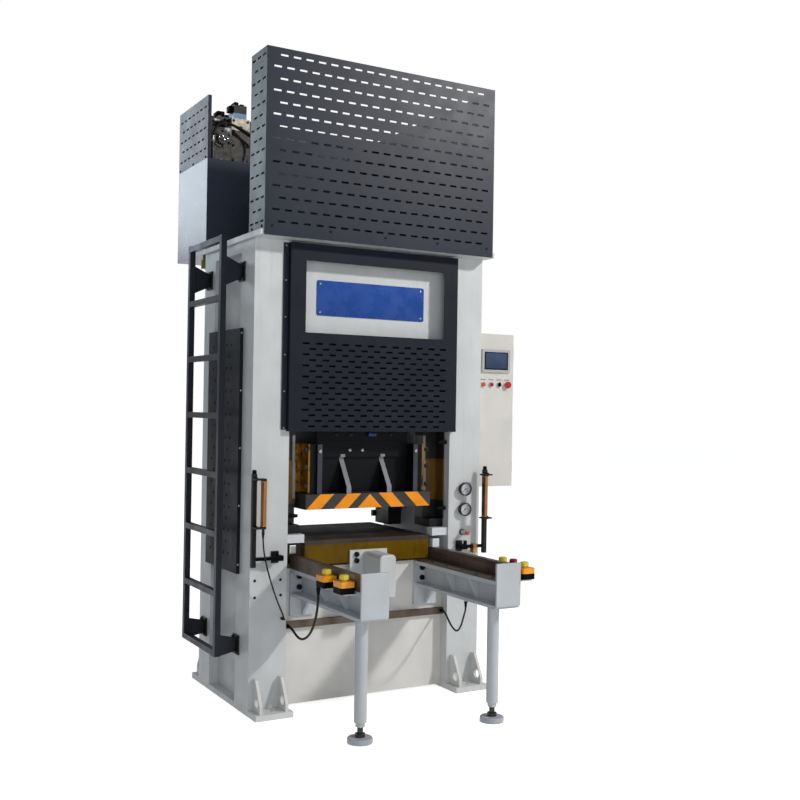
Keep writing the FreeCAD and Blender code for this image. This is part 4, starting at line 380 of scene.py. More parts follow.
def gauge_case_coat():
    """Black gauge cases; the regulator below them is bare die-cast metal."""
    finish = Finish("gauge_case_coat", 0.34, 0.3)
    finish.soften_edges(0.0008)
    cast = both(below("Z", 0.935), below("Y", -0.3782))(finish)
    speckle = finish.noise(200.0, 3.0)
    metal = finish.shades(speckle, (176, 178, 180), (206, 206, 204))
    case = finish.shades(speckle, (22, 22, 24), (36, 36, 38))
    finish.colour(finish.mix(cast, case, metal))
    finish.bump(speckle, 0.00005, 0.5)


def printed(name, roughness, scale, first, second, grain):
    """Printed or engraved sheet in two close shades."""
    finish = Finish(name, roughness)
    finish.colour(finish.shades(finish.noise(scale), first, second, 0.3, 0.7))
    finish.bump(finish.noise(grain), 0.00002, 0.4)


def clear_glass():
    """Thin gauge glass: nearly all of the dial shows through it."""
    finish = Finish("clear_glass", 0.05)
    finish.set("Alpha", 0.1)
    finish.colour(finish.shades(finish.noise(20.0), (226, 230, 234), (250, 250, 250), 0.3, 0.7))


def screen_face():
    """Unlit touch screen: a dark printed border round a blue-grey panel, with painted reflection that
    lightens it towards the top and in pale clouds.
    """
    finish = Finish("screen_face", 0.14)
    inside = both(near("X", 0.8195, 0.0735), near("Z", 1.833, 0.0435))(finish)
    # Painted reflection: the panel lightens towards its top, with paler clouds over it.
    panel = finish.shades(finish.axis("Z"), (44, 58, 84), (58, 74, 102), 1.79, 1.876)
    panel = finish.over(panel, finish.noise(9.0, 3.0), 0.35, 0.7, 0.35, seen(84, 98, 122))
    finish.colour(finish.mix(inside, seen(22, 25, 34), panel))
    finish.gloss(finish.noise(20.0), 0.1, 0.2)


def lens_dark():
    finish = Finish("lens_dark", 0.12)
    tone = finish.noise(60.0, 2.0, (1.0, 1.0, 3.0))
    finish.colour(finish.shades(tone, (20, 15, 13), (34, 24, 18), 0.3, 0.7))
    finish.gloss(finish.noise(80.0), 0.08, 0.2)


# Where a piece has another colour than the rest of it; lengths in metres, in the press's own frame.
# Near-black painted shade: it stands for the dark behind slotted sheets, where no light reaches.
PAINTED_SHADE_BLACK = (7, 8, 10)
painted_shade_behind_slots = both(above("Y", -0.3745), below("Z", 1.916))
# Painted light: the front edges of the slide's gussets and ribs are lighter, as faces that catch the light
# against the near-black slide.
painted_lit_gusset_edges = both(both(near("X", 0.122, 0.0135), below("Y", -0.238)), below("Z", 1.3))
painted_lit_rib_edges = both(near("X", 0.29, 0.0137), below("Y", -0.33))
drain_place = both(both(below("Z", 2.4045), below("X", -0.6305)), near("Y", 0.465, 0.0245))
behind_door = both(above("X", 0.7), above("Y", -0.3195))
dark_backs = ((behind_door, (24, 24, 26)),)

baked_coat("press_light_coat", (206, 208, 208), 0.4, streaks=0.1)
baked_coat("cabinet_coat", (210, 207, 200))
baked_coat("foot_coat", (214, 214, 212), 0.48, streaks=0.15)
baked_coat("arm_coat", (190, 194, 198), dust=0.12)
baked_coat("apron_coat", (218, 215, 210), dust=0.08)
baked_coat("white_pad_coat", (218, 221, 226), 0.4, dust=0.12)
baked_coat("slate_coat", (31, 37, 49), 0.4, dust=-0.18, shine=0.25, uneven=0.4)
# A coat of painted shade, for sheets and vent faces that stand for the dark behind them.
baked_coat("painted_shade_coat", PAINTED_SHADE_BLACK, 0.7, shine=0.1)
# The front cover's backing behind its slots is near-black painted shade.
baked_coat("cover_coat", (24, 28, 37), 0.44, dust=-0.15, shine=0.15, patches=((painted_shade_behind_slots, PAINTED_SHADE_BLACK),))
baked_coat("ladder_coat", (30, 34, 44), dust=-0.15, shine=0.25,
           patches=((above("X", -0.6955), (14, 14, 16)),))
baked_coat("side_cover_coat", (22, 26, 33), 0.5, dust=-0.2, shine=0.12)
baked_coat("tank_coat", (52, 60, 76), 0.28, dust=-0.1, uneven=0.12, patches=((drain_place, (118, 108, 34)),))
# The near-black slide, with painted highlights on the front edges of its gussets and ribs.
baked_coat("dark_slide_coat", (11, 12, 16), 0.44, dust=-0.2, shine=0.12,
           patches=((painted_lit_gusset_edges, (134, 136, 140)), (painted_lit_rib_edges, (66, 68, 76))))
baked_coat("levelling_foot_coat", (22, 22, 24), 0.4, patches=((below("Z", 0.0262), (172, 176, 182)),))
cut_steel("oiled_steel", (104, 92, 80), (62, 46, 34), metallic=0.5)
cut_steel("oiled_table", (52, 38, 26), (26, 17, 11), 0.56, metallic=0.0)
cut_steel("ground_steel", (178, 176, 172), (120, 110, 98), 0.3, stains=0.3)
cut_steel("black_oxide", (24, 24, 26), (34, 31, 28), 0.46, (1, 1, 1), 0.4, 0.6)
cut_steel("clamp_brass", (176, 132, 62), (96, 66, 28), 0.34)
moulded("black_moulding", (7, 7, 8), 0.5, shine=0.06)
moulded("amber_moulding", (246, 158, 18), 0.3)
moulded("lemon_moulding", (222, 208, 50), 0.3)
moulded("red_moulding", (196, 34, 40), 0.26, patches=dark_backs)
moulded("lamp_moulding", (255, 84, 36), 0.2, patches=dark_backs)
moulded("dark_red_moulding", (150, 16, 26), 0.3, patches=dark_backs)
moulded("grey_moulding", (178, 178, 178))
moulded("blue_moulding", (14, 40, 92), 0.4)
moulded("needle_coat", (18, 18, 20), 0.3)
rubber_sheath("hose_rubber", (13, 13, 14))
rubber_sheath("thin_sheath", (20, 20, 21))
printed("dial_white", 0.4, 40.0, (188, 188, 196), (214, 214, 220), 700.0)
printed("label_grey", 0.5, 90.0, (120, 120, 120), (150, 150, 150), 500.0)
for make in (guide_rail_coat, striped_slide_coat, enamel_plate, valve_coat, tarnished_bronze, hard_chrome,
             worn_bolster_coat, curtain_coat, gauge_case_coat, clear_glass, screen_face, lens_dark):
    make()

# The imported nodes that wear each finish.
NODE_FINISHES = {
    "press_light_coat": "upright_left upright_right crown_beam crown_plate drive_unit",
    "apron_coat": "bed_beam",
    "arm_coat": "arm_left arm_right leg_tubes",
    "foot_coat": "foot_plates",
    "cabinet_coat": "cabinet_body cabinet_door",
    "slate_coat": "upper_guard tank_guard pump_motor",
    "cover_coat": "front_cover",
    "ladder_coat": "ladder_rails ladder_rungs",
    "side_cover_coat": "side_cover",
    "tank_coat": "oil_tank",
    "striped_slide_coat": "slide_base",
    "dark_slide_coat": "slide_body",
    "greased_bronze": "slide_guides",
    "greased_guide_rail": "gib_rails",
    "hard_chrome": "piston_rod",
    "black_oxide": "main_cylinder arm_bolts wheelset_front wheelset_rear curtain_frames",
    "levelling_foot_coat": "foot_left foot_right",
    "oiled_steel": "apron_bar carriage_rails",
    "oiled_table": "bolster_plate",
    "worn_bolster_coat": "bolster_carriage",
    "white_pad_coat": "locator_blocks",
    "blue_enamel": "name_plate",
    "valve_coat": "valve_block",
    "black_moulding": "button_box_bases selector_switch",
    "gauge_case_coat": "air_gauges",
    "amber_moulding": "button_box_tops",
    "lemon_moulding": "hand_button_1 hand_button_2 hand_button_3 hand_button_4",
    "red_moulding": "cabinet_stop regulator_knob",
    "lamp_moulding": "signal_lamp",
    "dark_red_moulding": "push_button arm_stop",
    "grey_moulding": "touch_screen",
    "curtain_coat": "curtain_posts",
    "needle_coat": "gauge_needle_lower gauge_needle_upper",
    "hose_rubber": "box_cable curtain_cable arm_cable hydraulic_hoses",
}


def finish_nodes():
    for finish, names in NODE_FINISHES.items():
        for name in names.split():
            for place in nodes[name].material_slots:
                place.material = FINISHES[finish]


finish_nodes()

# ---- Cables and hoses ----

BOX_CABLE = ((-.510, -.798, .692), (-.510, -.798, .648), (-.509, -.788, .596), (-.506, -.766, .546),
             (-.498, -.716, .486), (-.487, -.650, .440), (-.478, -.580, .408), (-.471, -.508, .394),
             (-.467, -.446, .406), (-.466, -.396, .4275), (-.466, -.346, .4275))
CURTAIN_CABLE = ((-.659, -.470, .925), (-.659, -.470, .872), (-.646, -.466, .800), (-.616, -.455, .704),
                 (-.580, -.444, .612), (-.556, -.442, .556), (-.536, -.440, .514), (-.521, -.428, .486),
                 (-.510, -.406, .476), (-.510, -.382, .476))
ARM_CABLE = ((.462, -.342, .432), (.462, -.384, .432), (.446, -.440, .404), (.428, -.510, .374),
             (.408, -.590, .364), (.388, -.660, .408), (.366, -.716, .470), (.342, -.768, .512),
             (.331, -.788, .540), (.331, -.788, .567))
PRESSURE_HOSE = ((-.628, .440, 3.184), (-.560, .440, 3.184), (-.492, .437, 3.160), (-.420, .427, 3.118),
                 (-.362, .388, 3.084), (-.318, .320, 3.040), (-.298, .236, 2.984), (-.290, .166, 2.930),
                 (-.288, .110, 2.892), (-.280, .056, 2.866), (-.258, .020, 2.855), (-.216, .000, 2.850),
                 (-.176, .000, 2.850))
RETURN_HOSE = ((-.640, .415, 3.050), (-.640, .415, 3.092), (-.628, .415, 3.132), (-.596, .415, 3.162),
               (-.552, .415, 3.170), (-.500, .415, 3.158), (-.440, .417, 3.136), (-.380, .418, 3.102),
               (-.334, .420, 3.054), (-.300, .420, 2.998), (-.300, .420, 2.957))


def lay_cord(name, route, radius, replaced, finish="hose_rubber"):
    """A cable or hose that hangs on one smooth line along its route."""
    line = bpy.data.curves.new(name, "CURVE")
    line.dimensions = "3D"
    spline = line.splines.new("NURBS")
    spline.points.add(len(route) - 1)
    for point, place in zip(spline.points, route):
        point.co = (*place, 1)
    spline.order_u = 3
    spline.use_endpoint_u = True
    line.resolution_u = 10
    line.bevel_depth = radius
    line.bevel_resolution = 3
    line.use_fill_caps = True
    line.materials.append(FINISHES[finish])
    piece = bpy.data.objects.new(name, line)
    bpy.context.collection.objects.link(piece)
    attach(piece, "frame")
    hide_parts(replaced)


lay_cord("button_box_cable", BOX_CABLE, 0.006, "box_cable")
lay_cord("light_curtain_cable", CURTAIN_CABLE, 0.004, "curtain_cable", "thin_sheath")
lay_cord("arm_box_cable", ARM_CABLE, 0.005, "arm_cable")
lay_cord("pressure_hose", PRESSURE_HOSE, 0.0065, "hydraulic_hoses")
lay_cord("return_hose", RETURN_HOSE, 0.0065, "hydraulic_hoses")

# ---- Workshop moves: how new pieces are made ----

TO_FRONT = (0, -1, 0)
TO_BACK = (0, 1, 0)
TO_LEFT = (-1, 0, 0)
TO_RIGHT = (1, 0, 0)
UPWARDS = (0, 0, 1)
DOWNWARDS = (0, 0, -1)
SIDES = (-1, 1)
SQUARE_ON = 0.9  # how far a face has to look one way to be picked
HAIRLINE = 0.00002  # a border too thin to see, before a face is pushed in
ROUND = 48  # sides of the larger round pieces
EDGE_ANGLE = math.radians(35.0)
SMOOTH_ANGLE = math.radians(38.0)

# What a new piece is made of: its finish here and its slot.
BLACK_STEEL = ("black_oxide", "dark_steel")
BRIGHT_STEEL = ("ground_steel", "machined_steel")
CHROME = ("hard_chrome", "chrome_steel")
BLACK_PLASTIC = ("black_moulding", "black_plastic")
SLATE_SHEET = ("slate_coat", "slate_paint")
DARK_LENS = ("lens_dark", "screen_plastic")
SCREEN = ("screen_face", "screen_plastic")


def looking(way):
    """Picks the faces that look one way."""
    return lambda middle, facing: facing.dot(Vector(way)) > SQUARE_ON


up_face = looking(UPWARDS)
front_face = looking(TO_FRONT)


def named(piece, name):
    piece.name = name
    piece.data.name = name
    return piece


def select_only(piece):
    bpy.ops.object.select_all(action="DESELECT")
    piece.select_set(True)
    bpy.context.view_layer.objects.active = piece


def settle(name):
    """Put the new primitive's place and size into its mesh."""
    piece = named(bpy.context.active_object, name)
    bpy.ops.object.transform_apply(location=True, rotation=True, scale=True)
    return piece


def block(name, low, high):
    middle = [(a + b) / 2 for a, b in zip(low, high)]
    size = [b - a for a, b in zip(low, high)]
    bpy.ops.mesh.primitive_cube_add(size=1, location=middle, scale=size)
    return settle(name)


def bar(name, radius, start, end, sides):
    start = Vector(start)
    end = Vector(end)
    turn = (end - start).to_track_quat("Z", "Y").to_euler()
    bpy.ops.mesh.primitive_cylinder_add(vertices=sides, radius=radius, depth=(end - start).length,
                                        location=(start + end) / 2, rotation=turn)
    return settle(name)


def post(name, radius, low, high, sides):
    """A bar that stands above the origin."""
    return bar(name, radius, (0, 0, low), (0, 0, high), sides)


def choose(piece, wanted):
    """Go into edit mode with only the wanted faces picked."""
    select_only(piece)
    bpy.ops.object.mode_set(mode="EDIT")
    bpy.ops.mesh.select_mode(type="FACE")
    bpy.ops.mesh.select_all(action="DESELECT")
    shape = bmesh.from_edit_mesh(piece.data)
    shape.normal_update()
    for face in shape.faces:
        if wanted(face.calc_center_median(), face.normal):
            face.select_set(True)
    bmesh.update_edit_mesh(piece.data)


def leave_edit():
    bpy.ops.object.mode_set(mode="OBJECT")


def step_in(piece, wanted, border, depth):
    """Inset the wanted faces by a border, then push them in (or out, with a negative depth)."""
    choose(piece, wanted)
    bpy.ops.mesh.inset(thickness=border, depth=0)
    bpy.ops.mesh.inset(thickness=HAIRLINE, depth=-depth)
    leave_edit()


def slope_out(piece, wanted, border, height):
    """Give the wanted faces a sloped edge, as a chamfer."""
    choose(piece, wanted)
    bpy.ops.mesh.inset(thickness=border, depth=height)
    leave_edit()


def break_edges(piece, width, segments=2):
    select_only(piece)
    edges = piece.modifiers.new("edges", "BEVEL")
    edges.width = width
    edges.segments = segments
    edges.limit_method = "ANGLE"
    edges.angle_limit = EDGE_ANGLE
    bpy.ops.object.modifier_apply(modifier="edges")
    return piece


def smooth(piece):
    select_only(piece)
    bpy.ops.object.shade_smooth_by_angle(angle=SMOOTH_ANGLE)
    return piece


def joined(name, pieces):
    bpy.ops.object.select_all(action="DESELECT")
    for piece in pieces:
        piece.select_set(True)
    bpy.context.view_layer.objects.active = pieces[0]
    if len(pieces) > 1:
        bpy.ops.object.join()
    return named(bpy.context.view_layer.objects.active, name)


def fit(piece, kind, body="frame"):
    finish, slot = kind
    piece.data.materials.append(FINISHES[finish])
    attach(piece, body)
    return piece


def put_away(piece):
    bpy.data.objects.remove(piece, do_unlink=True)


def spread_out(pattern, name, kind, groups, body="frame"):
    """One piece made of copies of a pattern, which then goes; groups are places by facing."""
    made = []
    for facing, places in groups.items():
        turn = Vector(facing).to_track_quat("Z", "Y").to_matrix().to_4x4()
        for place in places:
            piece = pattern.copy()
            piece.data = pattern.data.copy()
            piece.data.transform(Matrix.Translation(Vector(place)) @ turn)
            bpy.context.collection.objects.link(piece)
            made.append(piece)
    whole = fit(smooth(joined(name, made)), kind, body)
    put_away(pattern)
    return whole


def flat_ring(radius, border, height, edge, sides=32):
    """A ring standing on the origin: a disc whose middle is taken out, its edges broken."""
    ring = post("ring", radius, 0, height, sides)
    for way in (DOWNWARDS, UPWARDS):
        choose(ring, looking(way))
        bpy.ops.mesh.inset(thickness=border, depth=0)
        leave_edit()
    hole = (radius - border) / 2
    choose(ring, lambda middle, facing: abs(facing.z) > SQUARE_ON and math.hypot(middle.x, middle.y) < hole)
    bpy.ops.mesh.bridge_edge_loops()
    leave_edit()
    return break_edges(ring, edge)


def panel(low, high, edge, name="panel"):
    return break_edges(block(name, low, high), edge)


def both_sides(low, high, edge):
    """The same block on the left and on the right."""
    left = (-high[0], low[1], low[2])
    mirrored = (-low[0], high[1], high[2])
    return [panel(low, high, edge), panel(left, mirrored, edge)]


# ---- Fasteners ----


def socket_screw(radius, height):
    """Head of a socket screw, standing on the origin, with a hexagon socket."""
    screw = post("socket_screw", radius, 0, height * 0.88, 24)
    slope_out(screw, up_face, radius * 0.12, height * 0.12)
    choose(screw, up_face)
    bpy.ops.mesh.inset(thickness=radius * 0.34, depth=0)
    shape = bmesh.from_edit_mesh(screw.data)
    reach = radius * 0.56
    half_flat = math.radians(30)
    for vertex in [vertex for vertex in shape.verts if vertex.select]:
        angle = math.atan2(vertex.co.y, vertex.co.x)
        flat = math.cos(half_flat) / math.cos((angle % math.radians(60)) - half_flat)
        vertex.co.x = reach * flat * math.cos(angle)
        vertex.co.y = reach * flat * math.sin(angle)
    bmesh.update_edit_mesh(screw.data)
    bpy.ops.mesh.inset(thickness=HAIRLINE, depth=-height * 0.5)
    leave_edit()
    return screw


def hex_bolt(radius, height):
    """Hexagon head with a chamfered top, on a washer."""
    washer = post("washer", radius * 1.25, 0, height * 0.2, 20)
    slope_out(washer, up_face, radius * 0.08, radius * 0.04)
    head = post("head", radius, height * 0.2, height, 6)
    slope_out(head, up_face, radius * 0.14, radius * 0.09)
    return joined("hex_bolt", [washer, head])


def pan_screw(radius, height):
    """Low domed head with a cross recess."""
    screw = post("pan_screw", radius, 0, height * 0.4, 16)
    slope_out(screw, up_face, radius * 0.18, height * 0.35)
    slope_out(screw, up_face, radius * 0.3, height * 0.25)
    step_in(screw, up_face, radius * 0.28, height * 0.4)
    return screw


# Heads that are used twice: radius and height.
SHEET_SCREW = (0.007, 0.004)
ARM_BOLT = (0.014, 0.012)
SMALL_SOCKET = (0.005, 0.002)


def sheet_fasteners():
    """Screws and rivets of the covers, the guards and the blue plate."""
    cover_rows = (1.443, 1.629, 1.814, 2.006, 2.194, 2.37)
    guard_row = 2.443
    guard_returns = (-0.44, -0.31)
    spread_out(pan_screw(0.0045, 0.003), "cover_screws", BRIGHT_STEEL,
               {TO_FRONT: [(-0.518, -0.3762, z) for z in cover_rows],
                TO_RIGHT: [(0.503, -0.386, z) for z in cover_rows]})
    spread_out(pan_screw(*SHEET_SCREW), "guard_screws", BLACK_STEEL,
               {TO_FRONT: [(x, -0.477, guard_row) for x in (-0.64, -0.32, 0.0, 0.32, 0.64)],
                TO_LEFT: [(-0.682, y, guard_row) for y in guard_returns],
                TO_RIGHT: [(0.682, y, guard_row) for y in guard_returns]})
    spread_out(pan_screw(0.005, 0.003), "side_cover_screws", BRIGHT_STEEL,
               {TO_FRONT: [(-0.695, -0.23, z) for z in (0.74, 1.04, 1.335, 1.63, 1.925)]})
    spread_out(pan_screw(*SHEET_SCREW), "tank_guard_screws", BLACK_STEEL,
               {TO_LEFT: [(-0.686, y, 2.955) for y in (0.4, 0.62, 0.85)]})
    spread_out(pan_screw(0.006, 0.003), "plate_rivets", BRIGHT_STEEL,
               {TO_FRONT: [(x, -0.333, z) for x in (-0.305, 0.305) for z in (2.046, 2.195)]})


def side_cover_vents():
    """Small vents through the side cover, in two columns of pairs and singles, as rimmed holes: shallow
    discs whose near-black face is painted shade for the dark inside.
    """
    vent = post("vent", 0.0085, 0, 0.0006, 16)
    step_in(vent, up_face, 0.0012, 0.0004)
    places = []
    for row in range(19):
        z = 1.867 - 0.0603 * row
        steps = (-0.034, 0.034) if row % 2 == 0 else (0.0,)
        places += [(-0.704, column + step, z) for column in (-0.072, 0.13) for step in steps]
    spread_out(vent, "side_cover_vents", ("painted_shade_coat", "black_plastic"), {TO_LEFT: places})


def frame_bolts():
    """Bolts and screws that hold the arms, the ladder, the cylinder and the rails."""
    bolts = spread_out(socket_screw(*ARM_BOLT), "arm_root_bolts", BLACK_STEEL,
                       {TO_FRONT: [(side * (0.3705 + step), -0.321, z) for side in SIDES
                                   for step in (-0.024, 0.024) for z in (0.62, 0.675)]})
    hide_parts("arm_bolts")
    spread_out(hex_bolt(0.01, 0.009), "ladder_bolts", BLACK_STEEL,
               {TO_LEFT: [(-0.694, y + dy, z + dz) for y in (-0.205, 0.283) for z in (0.33, 2.24)
                          for dy in (-0.025, 0.025) for dz in (-0.034, 0.034)]})
    angles = [math.radians(36 * step) for step in range(10)]
    spread_out(hex_bolt(0.012, 0.01), "cylinder_flange_bolts", BLACK_STEEL,
               {DOWNWARDS: [(0.172 * math.cos(a), 0.172 * math.sin(a), 1.88) for a in angles]})
    spread_out(socket_screw(*SMALL_SOCKET), "rail_screws", BLACK_STEEL,
               {UPWARDS: [(side * 0.318, y, 0.724) for side in SIDES
                          for y in (-1.04, -0.9, -0.76, -0.62, -0.48)]})
    spread_out(socket_screw(*SMALL_SOCKET), "upright_plugs", BLACK_STEEL,
               {TO_FRONT: [(-0.659, -0.37, 0.675), (-0.52, -0.37, 0.672),
                           (-0.658, -0.37, 0.59), (-0.518, -0.37, 0.594)]})


def bolts_that_move():
    """Bolts on the bolster's drive and on the slide."""
    spread_out(socket_screw(*ARM_BOLT), "drive_plate_bolts", BLACK_STEEL,
               {TO_FRONT: [(-0.078, -0.352, 0.774), (-0.078, -0.352, 0.741)]}, "bolster")
    spread_out(hex_bolt(0.0065, 0.005), "slide_deck_bolts", BRIGHT_STEEL,
               {TO_FRONT: [(x, -0.262, 1.322) for x in (-0.08, -0.004)]}, "slide")
    spread_out(socket_screw(0.008, 0.006), "slide_column_screws", BRIGHT_STEEL,
               {TO_FRONT: [(side * 0.29, -0.331, 1.318) for side in SIDES]}, "slide")
    spread_out(hex_bolt(0.011, 0.008), "shoe_bolts", BLACK_STEEL,
               {TO_FRONT: [(side * 0.367, -0.315, z) for side in SIDES
                           for z in (1.135, 1.235, 1.325)]}, "slide")


# ---- Parts of the frame, the slide and the hydraulics ----


def slide_top():
    """The walls that carry the slide's box up behind the front cover, with what shows on them."""
    front = -0.262
    top = 1.5
    sheet = 0.016
    walls = [panel((-0.276, y, 1.3722), (0.276, y + sheet, top), 0.002) for y in (front, 0.246)]
    walls += [panel((x, -0.2455, 1.3055), (x + sheet, 0.2455, top), 0.002) for x in (-0.276, 0.26)]
    lid = block("lid", (-0.2595, -0.2455, 1.484), (0.2595, 0.2455, 1.498))
    rod_hole = post("rod_hole", 0.12, 1.47, 1.51, ROUND)
    select_only(lid)
    cut = lid.modifiers.new("rod_hole", "BOOLEAN")
    cut.operation = "DIFFERENCE"
    cut.object = rod_hole
    bpy.ops.object.modifier_apply(modifier=cut.name)
    put_away(rod_hole)
    walls.append(break_edges(lid, 0.0012))
    fit(joined("slide_box_walls", walls), ("dark_slide_coat", "slide_paint"), "slide")
    spread_out(hex_bolt(0.009, 0.007), "slide_box_bolts", BLACK_STEEL,
               {TO_FRONT: [(x, front, 1.408) for x in (-0.162, -0.076, 0.17)]}, "slide")
    coupling = panel((0.022, -0.284, 1.396), (0.07, -0.2621, 1.42), 0.005)
    fit(smooth(coupling), ("blue_moulding", "blue_plate"), "slide")


def rail_feet_and_switches():
    """Black feet below the guide rails, limit switches on them and the stop under the left locator."""
    feet = both_sides((0.394, -0.316, 0.8945), (0.482, -0.152, 0.9398), 0.003)
    feet += both_sides((0.394, 0.152, 0.86), (0.482, 0.316, 0.9398), 0.003)
    feet += both_sides((0.41, 0.3185, 0.86), (0.484, 0.345, 0.947), 0.003)
    feet += both_sides((0.38, 0.3185, 0.895), (0.411, 0.345, 0.931), 0.003)
    fit(joined("rail_feet", feet), BLACK_STEEL)
    switches = []
    for side, z in ((1, 1.365), (1, 1.0), (-1, 0.99)):
        low = min(side * 0.432, side * 0.48)
        switches.append(panel((low, -0.35, z - 0.01), (low + 0.048, -0.3182, z + 0.01), 0.003))
        barrel = bar("barrel", 0.0085, (side * 0.476, -0.344, z), (side * 0.42, -0.344, z), 20)
        switches.append(break_edges(barrel, 0.0012))
    fit(smooth(joined("limit_switches", switches)), BLACK_PLASTIC)
    fit(panel((-0.481, -0.352, 0.7875), (-0.401, -0.3205, 0.8515), 0.002, "rail_stop"), BLACK_STEEL)
    ear = block("stop_bracket", (-0.466, -0.3575, 0.797), (-0.43, -0.3522, 0.842))
    slope_out(ear, front_face, 0.006, 0.002)
    fit(break_edges(ear, 0.001), BRIGHT_STEEL)


def sheet_edges_and_linings():
    """The front cover's folded flange, near-black sheets of painted shade behind the guards' slots, the edge
    below the guard.
    """
    fit(panel((-0.5325, -0.3762, 1.433), (-0.5035, -0.3703, 2.385), 0.0012, "cover_flange"), SLATE_SHEET)
    # Painted shade: near-black sheets inside the upper guard's left return and the tank guard, for their
    # dark insides.
    sheets = [panel((-0.6788, -0.4738, 2.4255), (-0.6762, -0.2715, 3.33), 0.0004),
              panel((-0.6828, 0.3735, 2.9455), (-0.6804, 0.8765, 3.299), 0.0004)]
    fit(joined("guard_shade_sheets", sheets), ("painted_shade_coat", "frame_paint"))
    fit(panel((-0.6818, -0.4769, 2.3972), (0.6818, -0.4746, 2.4099), 0.0004, "guard_lip"), SLATE_SHEET)


def valve_parts():
    """What sits on the valves: coils, plugs, filter cap rings and bolts."""
    black = [panel((-0.516, 0.495, 3.262), (-0.4942, 0.545, 3.298), 0.004),
             panel((-0.488, 0.484, 3.3002), (-0.462, 0.552, 3.32), 0.004),
             panel((-0.45, 0.492, 3.3002), (-0.424, 0.54, 3.314), 0.004),
             panel((-0.598, 0.466, 3.2232), (-0.552, 0.54, 3.248), 0.005),
             panel((-0.54, 0.494, 3.2232), (-0.516, 0.546, 3.24), 0.004)]
    for x in (-0.548, -0.522):
        nut = bar("coil_nut", 0.01, (x, 0.4898, 3.201), (x, 0.466, 3.201), 16)
        black.append(break_edges(nut, 0.002))
    fit(smooth(joined("valve_coils", black)), BLACK_PLASTIC)
    spread_out(flat_ring(0.0135, 0.005, 0.005, 0.001), "filter_cap_ring", CHROME,
               {TO_FRONT: [(-0.559, 0.428, 3.079), (-0.588, 0.428, 3.09)]})
    around = [(-0.573 + 0.044 * math.cos(a), 0.44, 3.084 + 0.044 * math.sin(a))
              for a in (math.radians(30 + 60 * step) for step in range(6))]
    on_block = [(x, 0.465, z) for x in (-0.498, -0.412) for z in (2.975, 3.06, 3.145, 3.205)]
    spread_out(hex_bolt(0.006, 0.005), "valve_bolts", BLACK_STEEL, {TO_FRONT: around + on_block})


def motor_parts():
    """Cooling ribs, all but those over the foot, and the terminal box of the pump motor."""
    ribs = []
    for angle in (math.radians(12 * step) for step in range(30)):
        if math.cos(angle) > -0.62:
            rib = block("rib", (0.052, -0.0016, 0.1142), (0.272, 0.0016, 0.1192))
            rib.data.transform(Matrix.Translation((0, 0.64, 3.075)) @ Matrix.Rotation(angle, 4, "X"))
            ribs.append(break_edges(rib, 0.0006, 1))
    fit(joined("motor_ribs", ribs), SLATE_SHEET)
    case = block("terminal_box", (0.118, 0.598, 3.188), (0.232, 0.682, 3.235))
    slope_out(case, up_face, 0.003, 0.003)
    fit(smooth(break_edges(case, 0.004)), SLATE_SHEET)


def tank_parts():
    """Lid bolts, filler breather and level glass of the oil tank."""
    spread_out(hex_bolt(0.008, 0.007), "tank_lid_bolts", BRIGHT_STEEL,
               {UPWARDS: [(-0.6 + 0.15 * step, y, 2.945) for step in range(9) for y in (0.392, 0.862)]})
    top = (0.48, 0.48, 2.985)
    neck = bar("filler_breather", 0.024, (0.48, 0.48, 2.9452), top, 28)
    choose(neck, up_face)
    bpy.ops.transform.resize(value=(1.5, 1.5, 1.0), center_override=top)
    bpy.ops.mesh.extrude_region_move(TRANSFORM_OT_translate={"value": (0, 0, 0.03)})
    leave_edit()
    slope_out(neck, up_face, 0.006, 0.005)
    fit(smooth(break_edges(neck, 0.0012)), BLACK_STEEL)
    glass = block("level_glass", (0.395, 0.8802, 2.5), (0.425, 0.8838, 2.78))
    step_in(glass, looking(TO_BACK), 0.006, 0.001)
    fit(break_edges(glass, 0.0006), SCREEN)


def cable_gland(cord):
    """Hexagon nut and tapered sleeve where a cable leaves, standing on the origin."""
    nut = post("nut", cord * 1.95, 0, 0.006, 6)
    slope_out(nut, up_face, cord * 0.2, 0.001)
    sleeve = post("sleeve", cord * 1.5, 0.006, 0.009, 20)
    for _ in range(4):
        slope_out(sleeve, up_face, cord * 0.07, 0.004)
        slope_out(sleeve, up_face, cord * 0.02, 0.0008)
    return joined("cable_gland", [nut, sleeve])


def hose_fitting():
    """Hexagon nut and grooved ferrule of a hose, standing on the origin."""
    nut = post("hose_nut", 0.0125, 0, 0.012, 6)
    slope_out(nut, up_face, 0.0015, 0.001)
    ferrule = post("ferrule", 0.0098, 0.012, 0.016, 20)
    for _ in range(3):
        slope_out(ferrule, up_face, 0.0006, 0.0006)
        slope_out(ferrule, up_face, 0.0001, 0.006)
    return joined("hose_fitting", [nut, ferrule])


def cord_ends():
    """Glands and fittings at the ends of the cable and hose routes."""
    for radius, name, route, first, last in (
            (0.006, "box_cable_sleeves", BOX_CABLE, DOWNWARDS, TO_FRONT),
            (0.004, "curtain_cable_sleeves", CURTAIN_CABLE, DOWNWARDS, TO_FRONT),
            (0.005, "arm_cable_sleeves", ARM_CABLE, TO_FRONT, DOWNWARDS)):
        spread_out(cable_gland(radius), name, BLACK_PLASTIC, {first: [route[0]], last: [route[-1]]})
    spread_out(hose_fitting(), "hose_fittings", BRIGHT_STEEL,
               {TO_RIGHT: [PRESSURE_HOSE[0]], TO_LEFT: [PRESSURE_HOSE[-1]],
                UPWARDS: [RETURN_HOSE[0], RETURN_HOSE[-1]]})


